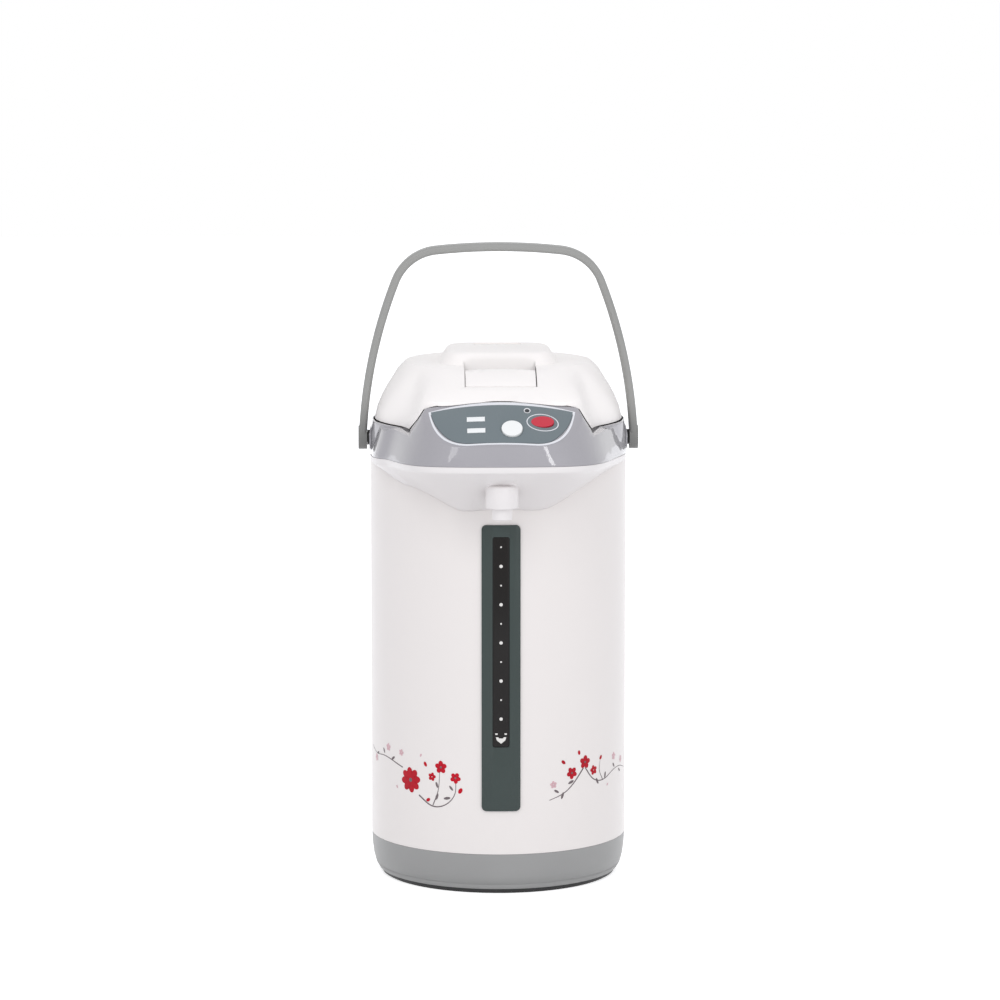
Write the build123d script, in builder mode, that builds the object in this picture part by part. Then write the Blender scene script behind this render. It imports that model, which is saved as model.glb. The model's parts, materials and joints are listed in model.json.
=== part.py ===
"""Electric thermo pot with a motor pump: a tall insulated jug that boils water, keeps it hot and
pours it from a spout under its front console.

The origin is on the pot's axis, on the surface it stands on. +Z is up, the spout and the control
console face -Y, and the lid hinge and the power inlet are at +Y. All sizes are in millimetres.
"""
from build123d import *
from math import atan2, cos, radians, sin, tan
import os

os.makedirs("parts", exist_ok=True)

# ---------------------------------------------------------------- clearances and walls
FIT_GAP = 0.05  # radial clearance of a pin or screw in its hole
RUN_GAP = 0.08  # radial clearance where a piece turns on a pin or hub
SEAT_GAP = 0.2  # between pieces that sit on or in each other
MOVE_GAP = 0.5  # between pieces that move past each other
PLASTIC_WALL = 2.5
CASING_WALL = 1.2
POT_WALL = 1.0

# ---------------------------------------------------------------- body
BODY_R = 92.0
COLLAR_R = BODY_R + 0.5  # the shoulder collar stands a little proud of the casing
COLLAR_WALL = 2.6
BOWL_R = COLLAR_R - COLLAR_WALL  # the collar's inner wall round the lid
CUT_LOW_Z = 200.0  # below and above the shoulder's pieces, for cuts that go right through
CUT_HIGH_Z = 400.0
CUT_REACH = 200.0
RING_BOTTOM_Z = 3.6
RING_TOP_Z = 29.7
RING_BOTTOM_R = BODY_R - 5.6
RING_GROOVE_Z = 7.4
RING_GROOVE_DEPTH = 0.6
RING_SWELL_Z = 13.5
RING_UPPER_Z = 21.0
SPIGOT_R = BODY_R - CASING_WALL - SEAT_GAP  # inside the casing, at its foot and at its top
SPIGOT_HEIGHT = 5.5
CASING_TOP_Z = 306.0
RIM_Z = 331.0  # top edge of the collar, where the lid meets it
DECK_Z = 312.0  # floor of the collar round the mouth
DECK_THICK = 2.6

# ---------------------------------------------------------------- swivel stand
TURNTABLE_R = BODY_R - 7.5
TURNTABLE_Z = 0.9
TURNTABLE_THICK = 2.3
FOOT_RING_R = TURNTABLE_R - 1.5
FOOT_RING_WIDTH = 9.0
FOOT_GROOVE_DEPTH = 0.8
HUB_R = 14.0
HUB_TOP_Z = 10.3
RETAINER_R = 21.0
RETAINER_THICK = 2.0
SLIDE_RIB_R = 54.0
SLIDE_RIB_WIDTH = 4.0
BOTTOM_PLATE_Z = 3.8
BOTTOM_PLATE_THICK = 2.5
SCREW_R = 1.5
SCREW_HEAD_R = 3.2
BASE_SCREW_CIRCLE_R = RING_BOTTOM_R - 10.4
BASE_SCREW_COUNT = 4
BOSS_R = 4.0
BOSS_HEIGHT = 12.0

# ---------------------------------------------------------------- inner pot and heater
INSULATION_GAP = 14.0  # from the inner pot out to the casing
POT_R = BODY_R - INSULATION_GAP
POT_BOTTOM_Z = 52.0
POT_CORNER_R = 12.0
POT_SHOULDER_Z = 284.0
MOUTH_R = POT_R - 10.5  # inside of the pot's neck
NECK_Z = 297.0
FLANGE_R = MOUTH_R + 7.5
FLANGE_TOP_Z = 306.6
SEAL_WIDTH = 4.5
HEATER_Z = 58.0
HEATER_HEIGHT = 38.0
HEATER_THICK = 1.6
THERMOSTAT_R = 9.0
THERMOSTAT_HEIGHT = 7.0
THERMOSTAT_XY = (38.0, 22.0)

# ---------------------------------------------------------------- pump
PUMP_Y = -38.0
PUMP_R = 21.0
PUMP_BOTTOM_Z = 36.0
PUMP_HEIGHT = 13.0
PUMP_WALL = 2.5
PUMP_INLET_R = 7.0
IMPELLER_R = 14.0
IMPELLER_HUB_R = 5.0
IMPELLER_BLADES = 6
SPINDLE_R = 1.2
MOTOR_R = 15.0
MOTOR_TOP_Z = 29.5
YOKE_R = 13.5
YOKE_HEIGHT = 3.5
SHAFT_R = 1.5
SHAFT_DEPTH = 9.0
PIPE_R = 4.5
PIPE_WALL = 1.0

# ---------------------------------------------------------------- water gauge
TUBE_Y = 7.5 - BODY_R
TUBE_BOTTOM_Z = 70.0
TUBE_TOP_Z = 268.0
GAUGE_HALF_WIDTH = 13.7
GAUGE_BOTTOM_Z = 61.4
GAUGE_TOP_Z = 265.8
GAUGE_CORNER_R = 3.4
GAUGE_PROUD = 1.4
WINDOW_HALF_WIDTH = 5.9
WINDOW_BOTTOM_Z = 107.4
WINDOW_TOP_Z = 257.3
WINDOW_PROUD = 0.9

# ---------------------------------------------------------------- console and spout
FRONT_Y = 148.0  # reach of the console's lower edge in front of the axis
SKIRT_SLOPE = 0.05  # rise of the console's lower edge towards the front
CONSOLE_HALF_WIDTH = COLLAR_R - 0.7  # abreast of the axis, just inside the collar's round wall
CONSOLE_SIDE = (80.0, 74.0)  # a point of the plan outline: out from the axis, forward
CONSOLE_CORNER = (60.0, 132.0)
CONSOLE_TOP_Z = 358.0
CONSOLE_LEAN = (14.0, 9.0)  # how far the sides and the front lean in up to CONSOLE_TOP_Z
BAND_TOP = (145.0, 327.4)  # distance in front of the axis, height
PANEL_TOP = (111.0, 354.8)
SADDLE_BACK = (62.0, 339.2)
FLANK_FOOT = 64.0  # half width of the console's raised middle at the rim's height
FLANK_TOP = (53.0, 350.4)  # half width and height where its steep sides meet the crown
LEDGE_CROWN_Z = 344.5  # the crown's height abreast of the axis, above the side ledges
CROWN_R = 320.0  # the console's top is crowned from side to side
LIP_HEIGHT = 4.5
BEAK_BOTTOM_Z = 275.0
BEAK_HALF_WIDTH = 52.5
BEAK_SIDE = (40.0, 64.0)
BEAK_CORNER = (32.0, 83.0)
BEAK_FRONT = 89.3
BEAK_WALL = 3.5
BEAK_START_Y = -22.0  # behind this the underside has thinned out against the casing
NOZZLE_Y = -124.0
SLEEVE_R = 11.5
SLEEVE_BOTTOM_Z = 282.6
NOZZLE_R = 7.2
NOZZLE_BOTTOM_Z = 274.0
NOZZLE_TOP_Z = 293.0
OUTLET_Z = 304.0

# ---------------------------------------------------------------- control panel, along its slope
PANEL_THICK = 1.4
PANEL_PROUD = 0.35
PANEL_LOW = 4.2
PANEL_HIGH = 40.6
PANEL_TOP_CORNER = (49.3, 36.4)
PANEL_SIDE = (45.8, 23.0)
PANEL_LOW_CORNER = (36.5, 9.2)
PANEL_FLAT_HALF = 22.0  # the straight part of the lower edge
BUTTON_TRAVEL = 1.2
BUTTON_PROUD = 1.5
BUTTON_GAP = 0.3
UNLOCK_AT = (6.7, 17.0)
UNLOCK_R = 7.3
DISPENSE_AT = (28.0, 24.9)
DISPENSE_RADII = (9.8, 6.9)
LAMP_BAR = (12.6, 4.2)
BOIL_LAMP_AT = (-18.2, 27.0)
WARM_LAMP_AT = (-18.0, 16.1)
UNLOCK_LAMP_AT = (17.5, 35.2)
UNLOCK_LAMP_R = 2.4
BOARD_DEPTH = 12.5  # from the panel's face down to the control board
BOARD_THICK = 1.6
SWITCH_HEIGHT = 4.2

# ---------------------------------------------------------------- lid
LID_GAP = 0.6  # split line between lid and collar
LID_RIM_R = BOWL_R - 1.0
LID_LEVELS = (
    # height, radius at the sides and back, reach of the nose, corner of the nose
    (RIM_Z + LID_GAP, LID_RIM_R, 114.0, (56.6, 108.0)),
    (340.0, LID_RIM_R - 2.0, 113.2, (55.6, 107.2)),
    (348.0, LID_RIM_R - 5.3, 112.4, (54.6, 106.0)),
    (355.0, LID_RIM_R - 9.1, 111.6, (53.4, 104.5)),
    (361.5, LID_RIM_R - 13.2, 96.2, (50.2, 86.0)),
    (367.5, LID_RIM_R - 16.8, 81.2, (46.0, 69.0)),
    (373.0, LID_RIM_R - 22.4, 66.8, (40.0, 54.0)),
)
LID_TOP_Z = LID_LEVELS[-1][0]
NOSE_START_ANGLE = 35.0
BOSS_TOP_Z = 381.8
CROWN_BOSS_HALF_WIDTH = 42.0
CROWN_BOSS_FRONT = -43.0
CROWN_BOSS_BACK = 46.0
CROWN_BOSS_TAPER = 36.0
POCKET_HALF_WIDTH = 25.4
POCKET_BACK = -40.0
POCKET_FRONT = -66.0
POCKET_FLOOR_Z = 357.0
LEVER_HALF_WIDTH = 24.6
LEVER_PIN_Y = 2.4 - BOWL_R
LEVER_PIN_Z = 360.2
LEVER_PIN_R = 1.5
LEVER_BARREL_R = 3.0
LEVER_THICK = 3.0
LEVER_END_GAP = 1.3
CLAW_X = 15.0
CLAW_WIDTH = 8.0
CLAW_BOTTOM_Z = 321.5
HINGE_Y = COLLAR_R + 5.0
HINGE_Z = 326.5
HINGE_PIN_R = 2.0
KNUCKLE_R = 5.0
KNUCKLE_HALF_WIDTH = 27.0
LUG_WIDTH = 9.0
LINER_R = LID_RIM_R - PLASTIC_WALL - 1.8
LINER_THICK = 2.4
PLUG_R = MOUTH_R - 3.5
PLUG_BOTTOM_Z = 316.0
GASKET_R = PLUG_R + 9.0
VENT_AT_Y = 27.0
VENT_SIZE = (34.0, 15.0)
VENT_SLOTS = 5
VENT_THICK = 2.2
LID_SCREW_CIRCLE_R = LINER_R - 10.6
LID_SCREW_ANGLES = (40.0, 140.0, 215.0, 325.0)

# ---------------------------------------------------------------- bail handle
BAIL_PIVOT_Z = 317.0
BAIL_TOP_Z = 454.2
BAIL_TOP_R = 422.0
BAIL_TOP_TURN = 6.1
BAIL_CORNER_R = 35.0
BAIL_CORNER_TURN = 62.4
BAIL_THICK = 5.8
BAIL_WIDTH = 16.0
BAIL_EDGE_R = 2.2
BAIL_EYE_R = 8.5
BAIL_EYE_THICK = 6.2
PIVOT_PAD_PROUD = 1.3
PIVOT_PIN_R = 3.5
PIVOT_HEAD_R = 5.8
PIVOT_HEAD_THICK = 1.4
EYE_INNER_X = COLLAR_R + PIVOT_PAD_PROUD + 0.6
EYE_OUTER_X = EYE_INNER_X + BAIL_EYE_THICK

# ---------------------------------------------------------------- power inlet
INLET_HALF_WIDTH = 22.0
INLET_BOTTOM_Z = 37.0
INLET_HEIGHT = 17.0
INLET_BACK_Y = BODY_R - 11.0
INLET_RIM = 2.6
INLET_POCKET_DEPTH = 9.0


def finish(part, name):
    """Label a finished piece and write its STEP file."""
    part.part.label = name
    export_step(part.part, f"parts/{name}.step")


def ring_profile(inner_r, outer_r, low_z, high_z):
    """A rectangle in the XZ plane, ready to revolve into a ring."""
    with Locations(((inner_r + outer_r) / 2, (low_z + high_z) / 2)):
        Rectangle(outer_r - inner_r, high_z - low_z)


def plan_outline(plane, half_width, side, corner, front):
    """A plan shape: a half circle behind the axis, curved sides that run forward, a broad front."""
    with BuildSketch(plane) as outline:
        with BuildLine():
            ThreePointArc((-half_width, 0), (0, half_width), (half_width, 0))
            Spline(
                (half_width, 0), (side[0], -side[1]), (corner[0], -corner[1]), (0, -front),
                tangents=((0, -1), (-1, 0)),
            )
            Spline(
                (0, -front), (-corner[0], -corner[1]), (-side[0], -side[1]), (-half_width, 0),
                tangents=((-1, 0), (0, 1)),
            )
        make_face()
    return outline.sketch


def shrunk(point, amount):
    """A plan point moved in towards the axis on both counts."""
    return (point[0] - amount, point[1] - amount)


def skirt_plane(drop):
    """The tilted plane where the console and the spout cover meet, lowered by drop."""
    return Plane(origin=(0, 0, CASING_TOP_Z + MOVE_GAP - drop), x_dir=(1, 0, 0), z_dir=(0, SKIRT_SLOPE, 1))


PANEL_SLOPE = atan2(PANEL_TOP[1] - BAND_TOP[1], BAND_TOP[0] - PANEL_TOP[0])
PANEL_PLANE = Plane(
    origin=(0, -BAND_TOP[0], BAND_TOP[1]),
    x_dir=(1, 0, 0),
    z_dir=(0, -sin(PANEL_SLOPE), cos(PANEL_SLOPE)),
)


def flanked_block(lift):
    """Everything under the console's raised middle, seen from the front: steep sides on a flat foot."""
    lean = atan2(FLANK_FOOT - FLANK_TOP[0], FLANK_TOP[1] - RIM_Z)
    foot = FLANK_FOOT + lift * (1 / cos(lean) - tan(lean))
    height = CONSOLE_TOP_Z - RIM_Z
    with BuildPart() as block:
        with BuildSketch(Plane.XZ):
            with BuildLine():
                Polyline(
                    (-CUT_REACH, CUT_LOW_Z),
                    (-CUT_REACH, RIM_Z + lift),
                    (-foot, RIM_Z + lift),
                    (-foot + height * tan(lean), RIM_Z + lift + height),
                    (foot - height * tan(lean), RIM_Z + lift + height),
                    (foot, RIM_Z + lift),
                    (CUT_REACH, RIM_Z + lift),
                    (CUT_REACH, CUT_LOW_Z),
                    close=True,
                )
            make_face()
        extrude(amount=CUT_REACH)
    return block.part


def crowned_block(lift):
    """Everything under the console's crowned top, whose panel slope is raised by lift."""
    rise = lift / cos(PANEL_SLOPE)
    run_out = 12.0
    low_z = CASING_TOP_Z - 12
    front_z = BAND_TOP[1] - run_out * tan(PANEL_SLOPE)
    with BuildPart() as block:
        with BuildSketch(Plane.YZ):
            with BuildLine():
                Polyline(
                    (-BAND_TOP[0] - run_out, low_z),
                    (-BAND_TOP[0] - run_out, front_z + rise),
                    (-PANEL_TOP[0], PANEL_TOP[1] + rise),
                    (-SADDLE_BACK[0], SADDLE_BACK[1] + rise),
                    (-SADDLE_BACK[0], low_z),
                    close=True,
                )
            make_face()
        revolve(axis=Axis((0, 0, PANEL_TOP[1] - CROWN_R), (0, 1, 0)))
        add(flanked_block(lift), mode=Mode.INTERSECT)
    return block.part


def ledge_block(lift):
    """Everything under the ledges at the sides, where the crown runs back and meets the rim."""
    low_z = CASING_TOP_Z - 12
    with BuildPart() as block:
        with BuildSketch(Plane.YZ):
            with BuildLine():
                Polyline(
                    (-SADDLE_BACK[0], low_z),
                    (-SADDLE_BACK[0], SADDLE_BACK[1] + lift),
                    (0, LEDGE_CROWN_Z + lift),
                    (0, low_z),
                    close=True,
                )
            make_face()
        revolve(axis=Axis((0, 0, PANEL_TOP[1] - CROWN_R), (0, 1, 0)))
        with Locations((0, 0, RIM_Z + lift)):
            Box(
                2 * CUT_REACH, 2 * CUT_REACH, CUT_HIGH_Z - RIM_Z,
                align=(Align.CENTER, Align.CENTER, Align.MIN), mode=Mode.SUBTRACT,
            )
    return block.part


def console_form(inset):
    """The console as a solid body, drawn in by inset on every side and open below."""
    lean_x, lean_y = CONSOLE_LEAN
    top_inset = inset + lean_x
    front_inset = inset + lean_y
    with BuildPart() as form:
        with BuildSketch(skirt_plane(inset)):
            add(
                plan_outline(
                    Plane.XY, CONSOLE_HALF_WIDTH - inset, shrunk(CONSOLE_SIDE, inset),
                    shrunk(CONSOLE_CORNER, inset), FRONT_Y - inset,
                )
            )
        with BuildSketch(Plane.XY.offset(CONSOLE_TOP_Z)):
            add(
                plan_outline(
                    Plane.XY, CONSOLE_HALF_WIDTH - top_inset,
                    (CONSOLE_SIDE[0] - top_inset, CONSOLE_SIDE[1] - inset),
                    (CONSOLE_CORNER[0] - top_inset, CONSOLE_CORNER[1] - front_inset), FRONT_Y - front_inset,
                )
            )
        loft(ruled=True)
        add(crowned_block(-inset) + ledge_block(-inset), mode=Mode.INTERSECT)
    return form.part


def beak_form(inset):
    """The underside of the beak as a solid body: a short lip, then an inverted hull to the casing."""
    lip_inset = inset + 0.8
    with BuildPart() as form:
        with BuildSketch(skirt_plane(SEAT_GAP - 2 * inset)):
            add(
                plan_outline(
                    Plane.XY, COLLAR_R - inset, shrunk(CONSOLE_SIDE, inset),
                    shrunk(CONSOLE_CORNER, inset), FRONT_Y - inset,
                )
            )
        with BuildSketch(skirt_plane(LIP_HEIGHT)):
            add(
                plan_outline(
                    Plane.XY, COLLAR_R - lip_inset, shrunk(CONSOLE_SIDE, lip_inset),
                    shrunk(CONSOLE_CORNER, lip_inset), FRONT_Y - lip_inset,
                )
            )
        loft(ruled=True)
        with BuildSketch(skirt_plane(LIP_HEIGHT)):
            add(
                plan_outline(
                    Plane.XY, COLLAR_R - lip_inset, shrunk(CONSOLE_SIDE, lip_inset),
                    shrunk(CONSOLE_CORNER, lip_inset), FRONT_Y - lip_inset,
                )
            )
        with BuildSketch(Plane.XY.offset(BEAK_BOTTOM_Z)):
            add(
                plan_outline(
                    Plane.XY, BEAK_HALF_WIDTH - inset, shrunk(BEAK_SIDE, inset),
                    shrunk(BEAK_CORNER, inset), BEAK_FRONT - inset,
                )
            )
        loft(ruled=True)
    return form.part


def lid_outline(radius, reach, corner):
    """The lid's plan shape at one height: round at the sides and back, with a nose at the front."""
    angle = radians(NOSE_START_ANGLE)
    start = (radius * cos(angle), -radius * sin(angle))
    lead = (-sin(angle), -cos(angle))
    with BuildSketch() as outline:
        with BuildLine():
            ThreePointArc((-start[0], start[1]), (0, radius), start)
            Spline(start, (corner[0], -corner[1]), (0, -reach), tangents=(lead, (-1, 0)))
            Spline(
                (0, -reach), (-corner[0], -corner[1]), (-start[0], start[1]),
                tangents=((-1, 0), (lead[0], -lead[1])),
            )
        make_face()
    return outline.sketch


def lid_form(inset):
    """The lid's outer shape as a solid body, drawn in by inset and open below."""
    with BuildPart() as form:
        for index, (height, radius, reach, corner) in enumerate(LID_LEVELS):
            drop = inset if index else 2 * inset
            with BuildSketch(Plane.XY.offset(height - drop)):
                add(lid_outline(radius - inset, reach - inset, shrunk(corner, inset)))
        loft(ruled=True)
    return form.part


def block(x_from, x_to, y_from, y_to, z_from, z_to):
    """A plain block between six planes."""
    with BuildPart() as body:
        with Locations(((x_from + x_to) / 2, (y_from + y_to) / 2, (z_from + z_to) / 2)):
            Box(x_to - x_from, y_to - y_from, z_to - z_from)
    return body.part


def upright(x, y, radius, z_from, z_to):
    """A plain cylinder standing at x, y."""
    with BuildPart() as body:
        with Locations((x, y, z_from)):
            Cylinder(radius, z_to - z_from, align=(Align.CENTER, Align.CENTER, Align.MIN))
    return body.part


def crosswise(y, z, radius, x_from, x_to):
    """A plain cylinder lying along X."""
    with BuildPart() as body:
        with Locations(Location((x_from, y, z), (0, 90, 0))):
            Cylinder(radius, x_to - x_from, align=(Align.CENTER, Align.CENTER, Align.MIN))
    return body.part


# ================================================================ swivel stand
with BuildPart() as turntable:
    with BuildSketch(Plane.XZ):
        ring_profile(0, TURNTABLE_R, TURNTABLE_Z, TURNTABLE_Z + TURNTABLE_THICK)
        ring_profile(0, HUB_R, TURNTABLE_Z, HUB_TOP_Z)
        ring_profile(
            SLIDE_RIB_R - SLIDE_RIB_WIDTH / 2, SLIDE_RIB_R + SLIDE_RIB_WIDTH / 2,
            TURNTABLE_Z + TURNTABLE_THICK, BOTTOM_PLATE_Z - 0.3,
        )
        with Locations((FOOT_RING_R - FOOT_RING_WIDTH / 2, TURNTABLE_Z + FOOT_GROOVE_DEPTH / 2)):
            Rectangle(FOOT_RING_WIDTH + 2 * FIT_GAP, FOOT_GROOVE_DEPTH, mode=Mode.SUBTRACT)
        with Locations((0, HUB_TOP_Z)):
            hole_depth = HUB_TOP_Z - TURNTABLE_Z - TURNTABLE_THICK
            Rectangle(2 * (SCREW_R + FIT_GAP), 2 * hole_depth, mode=Mode.SUBTRACT)
    revolve(axis=Axis.Z)
finish(turntable, "turntable")

with BuildPart() as foot_ring:
    with BuildSketch(Plane.XZ):
        foot_top = TURNTABLE_Z + FOOT_GROOVE_DEPTH - FIT_GAP
        ring_profile(FOOT_RING_R - FOOT_RING_WIDTH, FOOT_RING_R, 0, foot_top)
    revolve(axis=Axis.Z)
finish(foot_ring, "foot_ring")

with BuildPart() as swivel_retainer:
    with BuildSketch(Plane.XY.offset(HUB_TOP_Z)):
        Circle(RETAINER_R)
        Circle(SCREW_R + FIT_GAP, mode=Mode.SUBTRACT)
    extrude(amount=RETAINER_THICK)
finish(swivel_retainer, "swivel_retainer")

with BuildPart() as swivel_screw:
    add(upright(0, 0, SCREW_R, HUB_TOP_Z - 6.5, HUB_TOP_Z + RETAINER_THICK))
    add(upright(0, 0, 2 * SCREW_HEAD_R, HUB_TOP_Z + RETAINER_THICK, HUB_TOP_Z + RETAINER_THICK + 2.6))
    with BuildSketch(Plane.XY.offset(HUB_TOP_Z + RETAINER_THICK + 2.6)):
        RegularPolygon(2.5, 6)
    extrude(amount=-1.6, mode=Mode.SUBTRACT)
finish(swivel_screw, "swivel_screw")


# ================================================================ base
with BuildPart() as base_ring:
    with BuildSketch(Plane.XZ):
        with BuildLine():
            Polyline(
                (RING_BOTTOM_R - PLASTIC_WALL, RING_BOTTOM_Z),
                (RING_BOTTOM_R, RING_BOTTOM_Z),
                (BODY_R - 3.5, RING_GROOVE_Z - 0.4),
                (BODY_R - 3.4 - RING_GROOVE_DEPTH, RING_GROOVE_Z),
                (BODY_R - 3.1, RING_GROOVE_Z + 0.5),
                (BODY_R - 1.6, RING_SWELL_Z),
                (BODY_R - 0.6, RING_UPPER_Z),
                (BODY_R - 0.1, RING_TOP_Z),
                (SPIGOT_R, RING_TOP_Z),
                (SPIGOT_R, RING_TOP_Z + SPIGOT_HEIGHT),
                (SPIGOT_R - 2, RING_TOP_Z + SPIGOT_HEIGHT),
                (SPIGOT_R - 2, RING_UPPER_Z),
                (BODY_R - 1.6 - PLASTIC_WALL, RING_SWELL_Z),
                close=True,
            )
        make_face()
    revolve(axis=Axis.Z)
    boss_low = BOTTOM_PLATE_Z + BOTTOM_PLATE_THICK + SEAT_GAP
    with BuildSketch(Plane.XY.offset(boss_low)):
        with PolarLocations(BASE_SCREW_CIRCLE_R, BASE_SCREW_COUNT, start_angle=45):
            Circle(BOSS_R)
            with Locations((6.0, 0)):
                Rectangle(11.0, 2.4)
    extrude(amount=BOSS_HEIGHT)
    with BuildSketch(Plane.XY.offset(boss_low)):
        with PolarLocations(BASE_SCREW_CIRCLE_R, BASE_SCREW_COUNT, start_angle=45):
            Circle(SCREW_R + FIT_GAP)
    extrude(amount=BOSS_HEIGHT - 1.5, mode=Mode.SUBTRACT)
finish(base_ring, "base_ring")

PLATE_R = RING_BOTTOM_R - PLASTIC_WALL - 2 * SEAT_GAP
HEAD_THICK = 1.4
BOARD_Z = 12.0
BOARD_CENTRE = (0, 45.0)
BOARD_SIZE = (70.0, 44.0)
with BuildPart() as bottom_plate:
    plate_top = BOTTOM_PLATE_Z + BOTTOM_PLATE_THICK
    with BuildSketch(Plane.XY.offset(BOTTOM_PLATE_Z)):
        Circle(PLATE_R)
    extrude(amount=BOTTOM_PLATE_THICK)
    with BuildSketch(Plane.XY.offset(plate_top)):
        Circle(HUB_R + 4)
        with Locations((0, PUMP_Y)):
            Circle(MOTOR_R + SEAT_GAP + 1.8)
    extrude(amount=3.2)
    with BuildSketch(Plane.XY.offset(plate_top)):
        with Locations(BOARD_CENTRE):
            with GridLocations(BOARD_SIZE[0] - 8, BOARD_SIZE[1] - 10, 2, 2):
                Circle(3.0)
    extrude(amount=BOARD_Z - plate_top)
    add(upright(0, PUMP_Y, MOTOR_R + SEAT_GAP, plate_top, plate_top + 4), mode=Mode.SUBTRACT)
    add(upright(0, 0, HUB_R + RUN_GAP, 0, plate_top + 4), mode=Mode.SUBTRACT)
    with BuildSketch(Plane.XY.offset(BOTTOM_PLATE_Z)):
        with PolarLocations(BASE_SCREW_CIRCLE_R, BASE_SCREW_COUNT, start_angle=45):
            Circle(SCREW_HEAD_R + SEAT_GAP)
    extrude(amount=HEAD_THICK + 0.1, mode=Mode.SUBTRACT)
    with BuildSketch(Plane.XY.offset(BOTTOM_PLATE_Z)):
        with PolarLocations(BASE_SCREW_CIRCLE_R, BASE_SCREW_COUNT, start_angle=45):
            Circle(SCREW_R + FIT_GAP)
    extrude(amount=BOTTOM_PLATE_THICK, mode=Mode.SUBTRACT)
finish(bottom_plate, "bottom_plate")

for number in range(BASE_SCREW_COUNT):
    turn = radians(45 + number * 360 / BASE_SCREW_COUNT)
    spot = (BASE_SCREW_CIRCLE_R * cos(turn), BASE_SCREW_CIRCLE_R * sin(turn))
    head_top = BOTTOM_PLATE_Z + 0.1 + HEAD_THICK
    with BuildPart() as base_screw:
        add(upright(spot[0], spot[1], SCREW_HEAD_R, BOTTOM_PLATE_Z + 0.1, head_top))
        add(upright(spot[0], spot[1], SCREW_R, head_top, head_top + 9.0))
    finish(base_screw, f"base_screw_{number + 1}")


# ================================================================ body shell
INLET_MIDDLE_Z = INLET_BOTTOM_Z + INLET_HEIGHT / 2
with BuildPart() as outer_casing:
    with BuildSketch(Plane.XZ):
        ring_profile(BODY_R - CASING_WALL, BODY_R, RING_TOP_Z + SEAT_GAP, CASING_TOP_Z)
    revolve(axis=Axis.Z)
    add(block(-9, 9, -COLLAR_R, -POT_R, GAUGE_BOTTOM_Z + 4, GAUGE_TOP_Z - 4), mode=Mode.SUBTRACT)
    add(block(-8, 8, -COLLAR_R, -POT_R, OUTLET_Z - PIPE_R - 2, CASING_TOP_Z + 5), mode=Mode.SUBTRACT)
    add(
        block(
            -INLET_HALF_WIDTH - SEAT_GAP, INLET_HALF_WIDTH + SEAT_GAP, POT_R, COLLAR_R,
            INLET_BOTTOM_Z - SEAT_GAP, INLET_BOTTOM_Z + INLET_HEIGHT + SEAT_GAP,
        ),
        mode=Mode.SUBTRACT,
    )
finish(outer_casing, "outer_casing")

with BuildPart() as inner_pot:
    with BuildSketch(Plane.XZ):
        with BuildLine():
            Polyline(
                (0, POT_BOTTOM_Z),
                (POT_R, POT_BOTTOM_Z),
                (POT_R, POT_SHOULDER_Z),
                (MOUTH_R + POT_WALL, NECK_Z),
                (MOUTH_R + POT_WALL, FLANGE_TOP_Z),
                (0, FLANGE_TOP_Z),
                close=True,
            )
        make_face()
    revolve(axis=Axis.Z)
    fillet(inner_pot.edges().filter_by(GeomType.CIRCLE).group_by(Axis.Z)[0], POT_CORNER_R)
    with BuildSketch(Plane.XZ):
        ring_profile(0, FLANGE_R, FLANGE_TOP_Z - POT_WALL, FLANGE_TOP_Z)
    revolve(axis=Axis.Z)
    with BuildPart(mode=Mode.PRIVATE) as pot_inside:
        with BuildSketch(Plane.XZ):
            with BuildLine():
                Polyline(
                    (0, POT_BOTTOM_Z + POT_WALL),
                    (POT_R - POT_WALL, POT_BOTTOM_Z + POT_WALL),
                    (POT_R - POT_WALL, POT_SHOULDER_Z - 0.4),
                    (MOUTH_R, NECK_Z - 0.4),
                    (MOUTH_R, FLANGE_TOP_Z + 1),
                    (0, FLANGE_TOP_Z + 1),
                    close=True,
                )
            make_face()
        revolve(axis=Axis.Z)
        fillet(pot_inside.edges().filter_by(GeomType.CIRCLE).group_by(Axis.Z)[0], POT_CORNER_R - POT_WALL)
    add(pot_inside.part, mode=Mode.SUBTRACT)
    add(upright(0, PUMP_Y, PUMP_INLET_R - 2, POT_BOTTOM_Z - 5, POT_BOTTOM_Z + 5), mode=Mode.SUBTRACT)
finish(inner_pot, "inner_pot")

with BuildPart() as pot_seal:
    with BuildSketch(Plane.XZ):
        ring_profile(FLANGE_R - 1 - SEAL_WIDTH, FLANGE_R - 1, FLANGE_TOP_Z + 0.1, DECK_Z - DECK_THICK - 0.1)
    revolve(axis=Axis.Z)
finish(pot_seal, "pot_seal")

with BuildPart() as heater_band:
    with BuildSketch(Plane.XZ):
        ring_profile(POT_R + SEAT_GAP, POT_R + SEAT_GAP + HEATER_THICK, HEATER_Z, HEATER_Z + HEATER_HEIGHT)
    revolve(axis=Axis.Z)
    with BuildSketch(Plane.XZ):
        for band_z in (HEATER_Z + 6, HEATER_Z + HEATER_HEIGHT - 6):
            ring_profile(POT_R + SEAT_GAP, POT_R + SEAT_GAP + HEATER_THICK + 0.8, band_z - 2, band_z + 2)
    revolve(axis=Axis.Z)
    add(block(-7, 7, POT_R / 2, BODY_R, HEATER_Z - 5, HEATER_Z + HEATER_HEIGHT + 5), mode=Mode.SUBTRACT)
    add(
        block(-10, 10, -BODY_R, TUBE_Y + PIPE_R + SEAT_GAP, HEATER_Z - 5, TUBE_BOTTOM_Z + 60),
        mode=Mode.SUBTRACT,
    )
finish(heater_band, "heater_band")

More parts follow.
